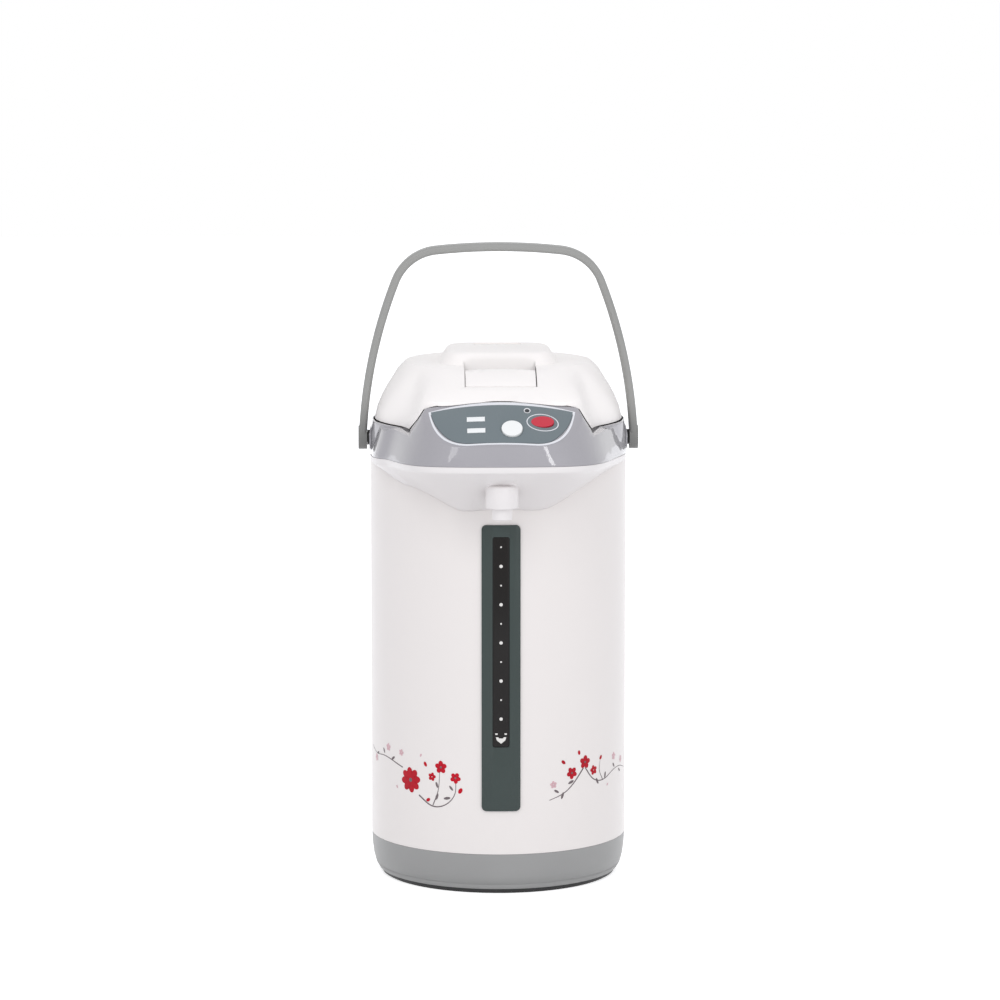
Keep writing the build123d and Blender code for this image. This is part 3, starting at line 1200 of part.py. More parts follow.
for number, angle in enumerate(LID_SCREW_ANGLES):
    x = LID_SCREW_CIRCLE_R * cos(radians(angle))
    y = LID_SCREW_CIRCLE_R * sin(radians(angle))
    with BuildPart() as lid_screw:
        add(upright(x, y, SCREW_R, LINER_Z - 0.1, LINER_Z + LINER_THICK + 9))
        add(upright(x, y, SCREW_HEAD_R, LINER_Z - 0.1 - 2.0, LINER_Z - 0.1))
    finish(lid_screw, f"lid_screw_{number + 1}")


# ================================================================ opening lever
CLAW_FRONT_Y = LEVER_PIN_Y + 0.5
CLAW_THICK = 2.6
with BuildPart() as lid_lever:
    add(
        block(
            -LEVER_HALF_WIDTH, LEVER_HALF_WIDTH, LEVER_PIN_Y - LEVER_BARREL_R, POCKET_FRONT,
            POCKET_FLOOR_Z - 7, CUT_HIGH_Z,
        )
    )
    add(lid_form(0), mode=Mode.INTERSECT)
    add(lid_form(LEVER_THICK), mode=Mode.SUBTRACT)
    add(crosswise(LEVER_PIN_Y, LEVER_PIN_Z, LEVER_BARREL_R, -LEVER_HALF_WIDTH, LEVER_HALF_WIDTH))
    for side in (-1, 1):
        low_x = side * CLAW_X - CLAW_WIDTH / 2
        high_x = side * CLAW_X + CLAW_WIDTH / 2
        add(block(low_x, high_x, CLAW_FRONT_Y, CLAW_FRONT_Y + CLAW_THICK, CLAW_BOTTOM_Z, LEVER_PIN_Z))
    add(crosswise(LEVER_PIN_Y, LEVER_PIN_Z, LEVER_PIN_R + RUN_GAP, -40, 40), mode=Mode.SUBTRACT)
finish(lid_lever, "lid_lever")

with BuildPart() as lever_pin:
    add(crosswise(LEVER_PIN_Y, LEVER_PIN_Z, LEVER_PIN_R, -29.5, 29.5))
finish(lever_pin, "lever_pin")

with BuildPart() as hinge_pin:
    pin_end = KNUCKLE_HALF_WIDTH + LUG_WIDTH
    add(crosswise(HINGE_Y, HINGE_Z, HINGE_PIN_R, -pin_end, pin_end))
finish(hinge_pin, "hinge_pin")


# ================================================================ bail handle
EYE_SPOT = ((EYE_INNER_X + EYE_OUTER_X) / 2, BAIL_PIVOT_Z - BAIL_TOP_Z)
with BuildPart() as handle:
    with BuildLine(Plane(origin=(0, 0, BAIL_TOP_Z), x_dir=(1, 0, 0), z_dir=(0, -1, 0))) as bail_line:
        top = JernArc((0, 0), (1, 0), BAIL_TOP_R, -BAIL_TOP_TURN)
        corner = JernArc(top @ 1, top % 1, BAIL_CORNER_R, -BAIL_CORNER_TURN)
        TangentArc(corner @ 1, EYE_SPOT, tangent=corner % 1)
    with BuildSketch(Plane(origin=(0, 0, BAIL_TOP_Z), x_dir=(0, 1, 0), z_dir=(1, 0, 0))):
        RectangleRounded(BAIL_WIDTH, BAIL_THICK, BAIL_EDGE_R)
    sweep()
    mirror(about=Plane.YZ)
    for side in (-1, 1):
        near = side * EYE_INNER_X
        far = side * EYE_OUTER_X
        add(crosswise(0, BAIL_PIVOT_Z, BAIL_EYE_R, min(near, far), max(near, far)))
        rim = side * (EYE_OUTER_X - PIVOT_HEAD_THICK)
        beyond = side * (EYE_OUTER_X + 5)
        add(
            crosswise(0, BAIL_PIVOT_Z, PIVOT_HEAD_R + 0.2, min(rim, beyond), max(rim, beyond)),
            mode=Mode.SUBTRACT,
        )
    add(crosswise(0, BAIL_PIVOT_Z, PIVOT_PIN_R + RUN_GAP, -120, 120), mode=Mode.SUBTRACT)
finish(handle, "handle")

for side, name in ((-1, "handle_pivot_left"), (1, "handle_pivot_right")):
    with BuildPart() as handle_pivot:
        near = side * (BOWL_R + 0.4)
        head = side * (EYE_OUTER_X - PIVOT_HEAD_THICK + 0.3)
        face = side * EYE_OUTER_X
        add(crosswise(0, BAIL_PIVOT_Z, PIVOT_PIN_R, min(near, head), max(near, head)))
        add(crosswise(0, BAIL_PIVOT_Z, PIVOT_HEAD_R, min(head, face), max(head, face)))
    finish(handle_pivot, name)
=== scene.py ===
"""Looks of an electric thermo pot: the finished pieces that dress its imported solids, and its stage.

Laid out as an add-on, run as a script. Lengths inside the piece builders are millimetres, in the
frame of the solids: +Z up the pot's axis, -Y towards the spout, the origin on the worktop.
"""

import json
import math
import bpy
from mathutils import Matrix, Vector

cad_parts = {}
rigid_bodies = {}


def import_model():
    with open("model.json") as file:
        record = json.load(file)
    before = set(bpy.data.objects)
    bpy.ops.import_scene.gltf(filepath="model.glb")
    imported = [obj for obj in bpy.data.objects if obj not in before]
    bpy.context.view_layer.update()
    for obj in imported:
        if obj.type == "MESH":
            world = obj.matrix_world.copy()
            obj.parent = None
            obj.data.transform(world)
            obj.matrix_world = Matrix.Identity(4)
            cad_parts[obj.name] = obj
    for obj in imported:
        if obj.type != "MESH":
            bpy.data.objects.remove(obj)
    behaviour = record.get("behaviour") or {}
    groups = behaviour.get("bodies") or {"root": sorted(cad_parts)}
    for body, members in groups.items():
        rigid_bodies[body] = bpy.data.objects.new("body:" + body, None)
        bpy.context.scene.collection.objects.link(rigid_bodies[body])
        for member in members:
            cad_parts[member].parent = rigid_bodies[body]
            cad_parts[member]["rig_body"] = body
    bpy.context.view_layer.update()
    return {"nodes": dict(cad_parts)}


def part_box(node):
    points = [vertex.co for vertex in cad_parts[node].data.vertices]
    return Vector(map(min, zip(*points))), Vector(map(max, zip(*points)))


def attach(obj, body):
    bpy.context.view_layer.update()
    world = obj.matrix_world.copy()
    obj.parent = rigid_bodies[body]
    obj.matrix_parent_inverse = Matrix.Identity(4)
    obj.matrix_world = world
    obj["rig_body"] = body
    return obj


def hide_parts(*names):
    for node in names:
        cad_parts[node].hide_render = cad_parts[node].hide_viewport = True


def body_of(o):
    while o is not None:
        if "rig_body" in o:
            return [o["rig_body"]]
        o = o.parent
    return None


bl_info = {
    "name": "Thermo Pot Pieces",
    "version": (1, 0, 0),
    "blender": (4, 5, 0),
    "location": "View3D > Sidebar > Thermo Pot",
    "description": "Builds the finished pieces of an electric thermo pot around its packed solids",
    "category": "Add Mesh",
}

import bmesh
import bpy
import numpy as np
from mathutils import Vector

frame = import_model()
MM = 0.001

# ---- sizes shared with the solids
BODY_R = 92.0
COLLAR_R = 92.5
RIM_Z = 331.0
BAND_TOP = (145.0, 327.4)  # foot of the panel's slope: distance before the axis, and height
PANEL_TOP = (111.0, 354.8)
PANEL_SLOPE = math.atan2(PANEL_TOP[1] - BAND_TOP[1], BAND_TOP[0] - PANEL_TOP[0])
CROWN_R = 320.0  # the console's top is crowned from side to side
BAIL_PIVOT_Z = 317.0
NOZZLE_Y = -124.0

# ---- sizes of the finished pieces
# The control panel's outline, right half, as (across, up the slope).
PANEL_CORNER = (49.3, 36.4)
PANEL_SIDE = (45.8, 23.0)
PANEL_LOW_CORNER = (36.5, 9.2)
PANEL_FOOT = (22.0, 4.2)
PANEL_HIGH = 40.6
RIM_EDGES = ((0.15, 0.15), (0.15 + 1.5, 0.15 + 2.6))  # the bright rim's gap, and its reach, sides and top
PANEL_STEPS = 40
RIM_HEIGHT = 0.14
STRIP_FOOT = -0.3  # strips on the panel start a little under its face
UNLOCK_LENS_AT = (17.5, 35.2, 0.4)
UNLOCK_LENS_R = 1.75
UNLOCK_LENS_COLOURS = ((52, 54, 58), (225, 226, 228))  # inside the radius and round it
DISPENSE_AT = (28.0, 24.9)
DISPENSE_RADII = (9.8, 6.9)
# Round the button: distance of the inner and the outer edge from its own, and height.
DISPENSE_RING = (0.7, 1.35, 0.42)
DISPENSE_WELL = (-1.9, 0.7, 0.4)
RING_STEPS = 72
DISPENSE_CAP = (0.81, 0.74, 0.6)  # the cap's share of the solid, across, up the slope and proud of it

RIM_TAPER = 1.9  # how far the collar's top edge is drawn in
RIM_TAPER_R = (COLLAR_R - 0.6, COLLAR_R + 1.6)  # on the outer wall alone
RIM_TAPER_Z = 320.5
RIM_TAPER_Y = -26  # from here, behind the console, back
RIM_TAPER_BLEND = 18  # and in full from this far behind
PIVOT_PAD_X = 92.7  # a flat round pad on each side of the collar, under the washer
PIVOT_PAD_R = 10.0
WASHER_X = (91.6, 94.25)
WASHER_R = 5.4

SLEEVE_Z = (282.6, 298.4)
SLEEVE_R = 11.5
SLEEVE_ROUND = 2.4
ROOT_Z = (286, 304)
ROOT_R = 11.6
ROOT_CUT_AT = (0, -135.9, 303.0)  # a point on the beak's slope, which cuts the root off
ROOT_CUT_NORMAL = (0, -9, -11.5)

# Edges of the lid's cover that are rounded: heights, signed angles, radius and segments.
LID_EDGES = (
    ((381.0, math.inf), (30, 70), 6.0, 6),
    ((371.5, 375.0), (-65, -35), 5.0, 5),
    ((371.5, 374.0), (25, 55), 5.0, 5),
)
ANY_ANGLE = (-181, 181)
# The walls of these gaps get painted shade.
LEVER_GAP_X = (24.3, 25.8)  # the gaps beside the lever, on both sides
LEVER_GAP_Y = (-93, -65.5)
VENT_SINK = 1.1
# Painted shade on the bail: its grey darkens from the upper height down to the lower one, to this share of
# its colour.
BAIL_PAINTED_SHADE_Z = (312.0, 352.0)
BAIL_PAINTED_SHADE = 0.62

PRINT_LIFT = 0.07  # the print lies over the enamel, and its petals over its stems
PETAL_OUT = 0.62  # how far a petal's middle lies from the flower's, in lengths
STEM_THINNING = 0.6
STEM_STEPS = 12  # between two points of a stem
# Petals: finish, lift, flowers (angle, height, count, reach, breadth, spin) and single petals
# (angle, height, turn, length, breadth), in degrees and millimetres.
PETALS = (
    (
        "crimson", 0.03,
        (
            (-44, 79, 8, 8.2, 5.4, 8), (-27.5, 91, 5, 4.2, 3.6, 20), (-20.5, 84, 5, 3.6, 3.1, 60),
            (-32, 83.5, 5, 2.8, 2.4, 5), (41, 92, 5, 4.4, 3.7, 12), (33.5, 85.5, 5, 4.0, 3.3, 50),
            (46.5, 85, 5, 3.2, 2.7, 30),
        ),
        (
            (-18.2, 75, 60, 4.4, 2.8), (-35.5, 92, 120, 3.8, 2.4), (-34, 66.5, 30, 3.6, 2.4),
            (29, 94, 140, 3.8, 2.4), (51.5, 93, 50, 3.6, 2.4), (37.5, 99.5, 100, 3.4, 2.2),
        ),
    ),
    (
        "blush", 0.02,
        (
            (-60, 99, 5, 2.6, 2.2, 15), (-73, 88, 5, 2.6, 2.2, 40), (-50, 97.5, 5, 2.2, 1.8, 0),
            (24, 78.5, 5, 2.4, 2.0, 25), (63, 91, 5, 2.6, 2.1, 10), (72, 86.5, 5, 2.4, 2.0, 45),
        ),
        ((-38, 98, 60, 2.4, 1.4), (-53, 72, 130, 2.6, 1.5), (57, 72, 40, 2.4, 1.4)),
    ),
    (
        "ink", 0.05,
        (),
        (
            (-29.5, 69.5, 70, 5.0, 1.9), (-24.5, 69, 10, 5.2, 1.9), (-29.5, 78, 110, 4.4, 1.7),
            (-22.5, 76.5, 130, 4.2, 1.6), (-56, 92, 30, 4.6, 1.8), (-64, 95.5, 120, 4.2, 1.7),
            (-71, 92, 200, 4.0, 1.6), (-44, 79, 0, 3.0, 3.0), (33, 79, 20, 5.0, 1.9),
            (28.5, 70, 70, 5.0, 1.8), (25.5, 73.5, 150, 4.2, 1.7), (49, 76.5, -60, 5.0, 1.9),
            (55, 79.5, 80, 4.6, 1.8), (63, 84.5, 130, 4.2, 1.7), (70, 79, -40, 4.0, 1.6),
            (41, 92, 0, 1.6, 1.6), (33.5, 85.5, 0, 1.5, 1.5), (-27.5, 91, 0, 1.6, 1.6),
            (-20.5, 84, 0, 1.4, 1.4),
        ),
    ),
)
# Stems: (angle, height) points and the width at the thick end.
STEMS = (
    ([(-39, 69), (-32, 62.5), (-25, 64.5), (-20.5, 74), (-20.3, 82)], 1.1),
    ([(-31.5, 63), (-29, 73), (-28, 88)], 0.8),
    ([(-49, 87), (-57, 90.5), (-65, 92), (-73, 91.5), (-80, 95)], 0.9),
    ([(40, 88), (35, 79), (29, 71.5), (22, 67.5)], 1.1),
    ([(41, 88), (46, 79), (53, 76.5), (61, 80.5), (70, 82), (79, 78.5)], 0.9),
    ([(53, 76.5), (50.5, 84), (51, 91)], 0.7),
)
MARKS_LIFT = 0.06
LEVEL_MARKS = {
    "Count": 10, "Top height": 250.2 * MM, "Spacing": 13.62 * MM, "Small radius": 0.62 * MM,
    "Large radius": 1.2 * MM,
}
# The mark under the dots: a bar and an arrowhead, as (across, height) outlines.
REFILL_MARK = (
    [(-4.1, 117.4), (4.1, 117.4), (4.1, 116.3), (-4.1, 116.3)],
    [(-3.7, 114.6), (3.7, 114.6), (3.0, 112.4), (0, 109.9), (-3.0, 112.4)],
)

# ---- the finishes' relief, in metres
DRIFT_SCALE, GLOSS_SCALE, WAVE_SCALE = 18.0, 60.0, 14.0
GRAIN_DEPTH, WAVE_DEPTH = 0.0002, 0.002

# ---- the stage, in metres
CAMERA_AT = (-0.0698, -3.1992, 0.707)
CAMERA_AIM = (0, 0, 0.271)
CAMERA_SHIFT_X = 0.0018
LAMP_AIM = (0, 0, 0.22)
FLOOR_REACH = 6000  # millimetres
SKY_COLOUR = (0.95, 0.96, 1.0, 1.0)
SKY_STRENGTH = 0.85


# ---- mesh helpers
def new_object(name, vertices, faces):
    """A mesh object at the origin from points in millimetres."""
    mesh = bpy.data.meshes.new(name)
    mesh.from_pydata([(x * MM, y * MM, z * MM) for x, y, z in vertices], [], faces)
    mesh.update()
    obj = bpy.data.objects.new(name, mesh)
    bpy.context.collection.objects.link(obj)
    return obj


def tidy_normals(obj):
    """Merges doubles and points every face outwards."""
    work = bmesh.new()
    work.from_mesh(obj.data)
    bmesh.ops.remove_doubles(work, verts=work.verts, dist=1e-6)
    bmesh.ops.recalc_face_normals(work, faces=work.faces)
    work.to_mesh(obj.data)
    work.free()


def baked(obj):
    """Turns the object's modifiers into its mesh."""
    depsgraph = bpy.context.evaluated_depsgraph_get()
    depsgraph.update()
    mesh = bpy.data.meshes.new_from_object(obj.evaluated_get(depsgraph))
    obj.modifiers.clear()
    old = obj.data
    obj.data = mesh
    mesh.name = obj.name
    bpy.data.meshes.remove(old)


def bevelled(obj, width, segments=3, angle=30.0):
    """Rounds the edges sharper than an angle."""
    step = obj.modifiers.new("bevel", "BEVEL")
    step.width = width * MM
    step.segments = segments
    step.limit_method = "ANGLE"
    step.angle_limit = math.radians(angle)
    step.miter_outer = "MITER_ARC"
    baked(obj)


def rod(start, end, radius, segments=48, name="rod"):
    """A round bar between two points."""
    start, end = Vector(start), Vector(end)
    along = (end - start).normalized()
    side = along.orthogonal().normalized()
    other = along.cross(side)
    turns = [2 * math.pi * i / segments for i in range(segments)]
    spokes = [radius * (math.cos(a) * side + math.sin(a) * other) for a in turns]
    vertices = [tuple(centre + spoke) for centre in (start, end) for spoke in spokes]
    faces = []
    for i in range(segments):
        j = (i + 1) % segments
        faces.append((i, j, segments + j, segments + i))
    faces += [tuple(range(segments)), tuple(range(segments, 2 * segments))]
    obj = new_object(name, vertices, faces)
    tidy_normals(obj)
    return obj


def spline(points, start_tangent, end_tangent, count):
    """A clamped cubic through the points, sampled at count + 1 places."""
    points = np.array(points, dtype=float)
    chord = np.linalg.norm(np.diff(points, axis=0), axis=1)
    knots = np.concatenate([[0], np.cumsum(chord)])
    size = len(points)
    start = np.array(start_tangent, dtype=float)
    end = np.array(end_tangent, dtype=float)
    start /= np.linalg.norm(start)
    end /= np.linalg.norm(end)
    matrix = np.zeros((size, size))
    right = np.zeros((size, points.shape[1]))
    matrix[0, 0] = matrix[-1, -1] = 1
    right[0], right[-1] = start, end
    for i in range(1, size - 1):
        before, after = chord[i - 1], chord[i]
        matrix[i, i - 1] = after
        matrix[i, i] = 2 * (before + after)
        matrix[i, i + 1] = before
        right[i] = 3 * (
            after * (points[i] - points[i - 1]) / before + before * (points[i + 1] - points[i]) / after
        )
    slopes = np.linalg.solve(matrix, right)
    result = []
    for t in np.linspace(0, knots[-1], count + 1):
        i = min(int(np.searchsorted(knots, t, side="right")) - 1, size - 2)
        width = chord[i]
        u = (t - knots[i]) / width
        result.append(
            tuple(
                (2 * u**3 - 3 * u**2 + 1) * points[i]
                + (u**3 - 2 * u**2 + u) * width * slopes[i]
                + (3 * u**2 - 2 * u**3) * points[i + 1]
                + (u**3 - u**2) * width * slopes[i + 1]
            )
        )
    return result


def panel_point(x, up, height):
    """A point over the control panel: across, up its slope, and square to its crowned face."""
    drop = x * x / (2 * CROWN_R)
    slope_y = math.cos(PANEL_SLOPE)
    slope_z = math.sin(PANEL_SLOPE)
    return (
        x,
        -BAND_TOP[0] + up * slope_y - height * slope_z,
        BAND_TOP[1] + up * slope_z + height * slope_y - drop,
    )


def picked_edges_rounded(obj, heights, angles, width, segments):
    """Rounds the edges whose middle lies between two heights and whose signed angle is in a range."""
    work = bmesh.new()
    work.from_mesh(obj.data)
    chosen = []
    for edge in work.edges:
        if len(edge.link_faces) == 2:
            middle = (edge.verts[0].co.z + edge.verts[1].co.z) / (2 * MM)
            angle = math.degrees(edge.calc_face_angle_signed(0.0))
            if heights[0] < middle < heights[1] and angles[0] < angle < angles[1]:
                chosen.append(edge)
    bmesh.ops.bevel(
        work, geom=chosen, offset=width * MM, segments=segments, profile=0.5, affect="EDGES",
        clamp_overlap=True,
    )
    work.to_mesh(obj.data)
    work.free()


def rim_drawn_in(obj):
    """Tapers the collar's outer wall towards its top edge, behind the console."""
    work = bmesh.new()
    work.from_mesh(obj.data)
    span = RIM_Z - RIM_TAPER_Z
    cuts = [((0, 0, RIM_TAPER_Z + step * span / 5), (0, 0, 1)) for step in range(5)]
    cuts += [((0, y, 0), (0, 1, 0)) for y in range(RIM_TAPER_Y, RIM_TAPER_Y + RIM_TAPER_BLEND + 1, 2)]
    for place, normal in cuts:
        everything = work.verts[:] + work.edges[:] + work.faces[:]
        bmesh.ops.bisect_plane(work, geom=everything, plane_co=Vector(place) * MM, plane_no=normal)
    for vertex in work.verts:
        x, y, z = vertex.co / MM
        radius = math.hypot(x, y)
        if z > RIM_TAPER_Z and y > RIM_TAPER_Y and RIM_TAPER_R[0] < radius < RIM_TAPER_R[1]:
            share = min(1.0, (z - RIM_TAPER_Z) / span) * min(1.0, (y - RIM_TAPER_Y) / RIM_TAPER_BLEND)
            inward = 1 - RIM_TAPER * share / radius
            vertex.co.x *= inward
            vertex.co.y *= inward
    work.to_mesh(obj.data)
    work.free()


def cut_flat(obj, place, normal):
    """Cuts away what lies beyond a plane and closes the cut."""
    work = bmesh.new()
    work.from_mesh(obj.data)
    bmesh.ops.bisect_plane(
        work, geom=work.verts[:] + work.edges[:] + work.faces[:], plane_co=Vector(place) * MM,
        plane_no=normal, clear_outer=True,
    )
    bmesh.ops.holes_fill(work, edges=[edge for edge in work.edges if edge.is_boundary])
    work.to_mesh(obj.data)
    work.free()


def panel_outline(extra, extra_top):
    """The control panel's outline as (across, up) points, grown by extra, clockwise from its top left."""
    wide, corner_up = PANEL_CORNER[0] + extra, PANEL_CORNER[1] + extra_top
    high = PANEL_HIGH + extra_top
    foot = PANEL_FOOT[1] - extra
    radius = (wide**2 + (high - corner_up) ** 2) / (2 * (high - corner_up))
    points = []
    for index in range(PANEL_STEPS + 1):
        x = -wide + 2 * wide * index / PANEL_STEPS
        points.append((x, high - radius + math.sqrt(radius**2 - x * x)))
    side = [
        (wide, corner_up),
        (PANEL_SIDE[0] + extra, PANEL_SIDE[1]),
        (PANEL_LOW_CORNER[0] + 0.6 * extra, PANEL_LOW_CORNER[1] - 0.8 * extra),
        (PANEL_FOOT[0], foot),
    ]
    right = [tuple(point) for point in spline(side, (-0.15, -1), (-1, 0), PANEL_STEPS)]
    points += right[1:]
    points += [(x, foot) for x in (PANEL_FOOT[0] / 2, 0.0, -PANEL_FOOT[0] / 2)]
    points += [(-x, up) for x, up in reversed(right)][:-1]
    return points


def strip_between(name, inner, outer, height):
    """A flat strip over the panel's face between two outlines of as many points."""
    count = len(inner)
    rings = ((inner, height), (outer, height), (outer, STRIP_FOOT), (inner, STRIP_FOOT))
    vertices = [panel_point(x, up, level) for ring, level in rings for x, up in ring]
    faces = []
    for index in range(count):
        after = (index + 1) % count
        for level in range(4):
            low, high = level * count, (level + 1) % 4 * count
            faces.append((low + index, low + after, high + after, high + index))
    obj = new_object(name, vertices, faces)
    tidy_normals(obj)
    return obj


def gap_walls_painted_shade(obj, material):
    """Paints shade on the upright walls of the narrow gaps beside the lever: they get their own, darker
    finish, as the shade inside the gaps.
    """
    obj.data.materials.append(material)
    index = len(obj.data.materials) - 1
    for face in obj.data.polygons:
        at = face.center / MM
        across = LEVER_GAP_X[0] < abs(at.x) < LEVER_GAP_X[1]
        if across and LEVER_GAP_Y[0] < at.y < LEVER_GAP_Y[1] and abs(face.normal.x) > 0.9:
            face.material_index = index


def oval_ring(name, inner, outer, height):
    """A thin oval line round the dispense button, between two distances from its edge."""
    turns = [2 * math.pi * index / RING_STEPS for index in range(RING_STEPS)]
    loops = [
        [
            (
                DISPENSE_AT[0] + (DISPENSE_RADII[0] + grow) * math.cos(turn),
                DISPENSE_AT[1] + (DISPENSE_RADII[1] + grow) * math.sin(turn),
            )
            for turn in turns
        ]
        for grow in (inner, outer)
    ]
    return strip_between(name, *loops, height)


def merged_copy(node):
    """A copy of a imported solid's mesh with its loose triangles joined up."""
    source = frame["nodes"][node]
    obj = bpy.data.objects.new(f"{node}_finished", source.data.copy())
    bpy.context.collection.objects.link(obj)
    work = bmesh.new()
    work.from_mesh(obj.data)
    bmesh.ops.remove_doubles(work, verts=work.verts, dist=2e-6)
    bmesh.ops.dissolve_limit(
        work, angle_limit=math.radians(0.6), verts=work.verts, edges=work.edges,
        use_dissolve_boundaries=False,
    )
    work.to_mesh(obj.data)
    work.free()
    obj.data.materials.clear()
    return obj


def dress(obj, body, material, nodes=(), angle=32.0):
    """Gives a finished piece its shading, finish and body, and hides the solids that it stands for."""
    mesh = obj.data
    mesh.materials.clear()
    mesh.materials.append(material)
    mesh.polygons.foreach_set("use_smooth", [True] * len(mesh.polygons))
    mesh.set_sharp_from_angle(angle=math.radians(angle))
    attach(obj, body)
    if nodes:
        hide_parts(*nodes)
    return obj


# ---- node trees
def set_or_link(tree, socket, value):
    """Links another node's output into a socket, or gives the socket a plain value."""
    if isinstance(value, bpy.types.NodeSocket):
        tree.links.new(value, socket)
    else:
        socket.default_value = value


def add_node(tree, kind, inputs=None, **options):
    """A new node with its options, and with its inputs, by name or number, set or linked."""
    node = tree.nodes.new(kind)
    for name, value in options.items():
        setattr(node, name, value)
    for key, value in (inputs or {}).items():
        set_or_link(tree, node.inputs[key], value)
    return node


class Tree:
    """A geometry node tree under construction, for what repeats."""

    def __init__(self, name, inputs):
        self.group = bpy.data.node_groups.new(name, "GeometryNodeTree")
        self.ends = {}
        sockets = self.group.interface
        for label, kind, *default in inputs:
            socket = sockets.new_socket(label, in_out="INPUT", socket_type=f"NodeSocket{kind}")
            if default:
                socket.default_value = default[0]
            self.ends[label] = socket.identifier
        sockets.new_socket("Geometry", in_out="OUTPUT", socket_type="NodeSocketGeometry")
        self.given = self.node("NodeGroupInput").outputs
        self.sink = self.node("NodeGroupOutput")

    def node(self, kind, inputs=None, **options):
        return add_node(self.group, kind, inputs, **options)

    def math(self, operation, first, second=0.0):
        return self.node("ShaderNodeMath", {0: first, 1: second}, operation=operation).outputs[0]

    def vector(self, x, y, z):
        return self.node("ShaderNodeCombineXYZ", {0: x, 1: y, 2: z}).outputs[0]

    def attribute(self, name, kind):
        node = self.node("GeometryNodeInputNamedAttribute", {"Name": name}, data_type=kind)
        return node.outputs["Attribute"]

    def finish(self, placed):
        """Makes the instances real, bends them, x along the girth, round the pot, and paints them."""
        real = self.node("GeometryNodeRealizeInstances", {"Geometry": placed.outputs[0]})
        radius = self.given["Radius"]
        place = self.node("GeometryNodeInputPosition").outputs[0]
        parts = self.node("ShaderNodeSeparateXYZ", {"Vector": place})
        angle = self.math("DIVIDE", parts.outputs["X"], radius)
        x = self.math("MULTIPLY", self.math("SINE", angle), radius)
        y = self.math("MULTIPLY", self.math("MULTIPLY", self.math("COSINE", angle), radius), -1.0)
        bent = self.node(
            "GeometryNodeSetPosition",
            {"Geometry": real.outputs[0], "Position": self.vector(x, y, parts.outputs["Y"])},
        )
        real = self.node("GeometryNodeRealizeInstances", {"Geometry": bent.outputs["Geometry"]})
        paint = self.node(
            "GeometryNodeSetMaterial", {"Geometry": real.outputs[0], "Material": self.given["Material"]}
        )
        self.group.links.new(paint.outputs[0], self.sink.inputs[0])
        return self.group, self.ends


def petal_tree():
    """Round or long petals, one on each point, bent round the casing."""
    tree = Tree(
        "petals_on_casing",
        (("Points", "Geometry"), ("Radius", "Float", BODY_R * MM), ("Material", "Material")),
    )
    petal = tree.node("GeometryNodeMeshCircle", {"Vertices": 20, "Radius": 0.5}, fill_type="TRIANGLE_FAN")
    finer = tree.node("GeometryNodeSubdivideMesh", {"Mesh": petal.outputs[0], "Level": 1})
    turn = tree.node(
        "FunctionNodeEulerToRotation", {0: tree.vector(0.0, 0.0, tree.attribute("turn", "FLOAT"))}
    )
    return tree.finish(
        tree.node(
            "GeometryNodeInstanceOnPoints",
            {
                "Points": tree.given["Points"], "Instance": finer.outputs[0],
                "Rotation": turn.outputs[0], "Scale": tree.attribute("span", "FLOAT_VECTOR"),
            },
        )
    )


def level_marks_tree():
    """The gauge's column of dots, every second one larger, bent round the window."""
    sizes = [(name, "Int" if name == "Count" else "Float", size) for name, size in LEVEL_MARKS.items()]
    ends = (("Radius", "Float", BODY_R * MM), ("Material", "Material"))
    tree = Tree("gauge_level_marks", (("Geometry", "Geometry"), *sizes, *ends))
    given = tree.given
    line = tree.node(
        "GeometryNodeMeshLine",
        {
            "Count": given["Count"],
            "Start Location": tree.vector(0.0, given["Top height"], 0.0),
            "Offset": tree.vector(0.0, tree.math("MULTIPLY", given["Spacing"], -1.0), 0.0),
        },
        mode="OFFSET",
    )
    dot = tree.node("GeometryNodeMeshCircle", {"Vertices": 20, "Radius": 1.0}, fill_type="NGON")
    odd = tree.math("MODULO", tree.node("GeometryNodeInputIndex").outputs[0], 2.0)
    step = tree.math("SUBTRACT", given["Large radius"], given["Small radius"])
    size = tree.math("ADD", given["Small radius"], tree.math("MULTIPLY", odd, step))
    return tree.finish(
        tree.node(
            "GeometryNodeInstanceOnPoints",
            {"Points": line.outputs[0], "Instance": dot.outputs[0], "Scale": tree.vector(size, size, 1.0)},
        )
    )


def grown(obj, made, values):
    """Runs a node tree on the object with the named values and keeps the result as its mesh."""
    group, ends = made
    step = obj.modifiers.new(group.name, "NODES")
    step.node_group = group
    for name, value in values.items():
        step[ends[name]] = value
    baked(obj)
    obj.data.materials.clear()
    obj.data.materials.append(values["Material"])
    return obj


def printed(name, body, slot, *objects):
    """Joins printed marks into one piece that rides on a body."""
    work = bmesh.new()
    materials = []
    for obj in objects:
        mesh = obj.data
        index = len(materials)
        materials.append(mesh.materials[0])
        before = len(work.faces)
        work.from_mesh(mesh)
        work.faces.ensure_lookup_table()
        for face in work.faces[before:]:
            face.material_index = index
    mesh = bpy.data.meshes.new(name)
    work.to_mesh(mesh)
    work.free()
    for material in materials:
        mesh.materials.append(material)
    for obj in objects:
        old = obj.data
        bpy.data.objects.remove(obj)
        bpy.data.meshes.remove(old)
    piece = bpy.data.objects.new(name, mesh)
    bpy.context.collection.objects.link(piece)
    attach(piece, body)


def petals(name, marks, radius, material):
    """Petals at (angle, height, turn, length, breadth) on the casing, in degrees and millimetres."""
    obj = new_object(name, [(BODY_R * math.radians(mark[0]), mark[1], 0) for mark in marks], [])
    turn = obj.data.attributes.new("turn", "FLOAT", "POINT")
    span = obj.data.attributes.new("span", "FLOAT_VECTOR", "POINT")
    for index, mark in enumerate(marks):
        turn.data[index].value = math.radians(mark[2])
        span.data[index].vector = (mark[3] * MM, mark[4] * MM, 1.0)
    return grown(obj, petal_tree(), {"Radius": radius * MM, "Material": material})


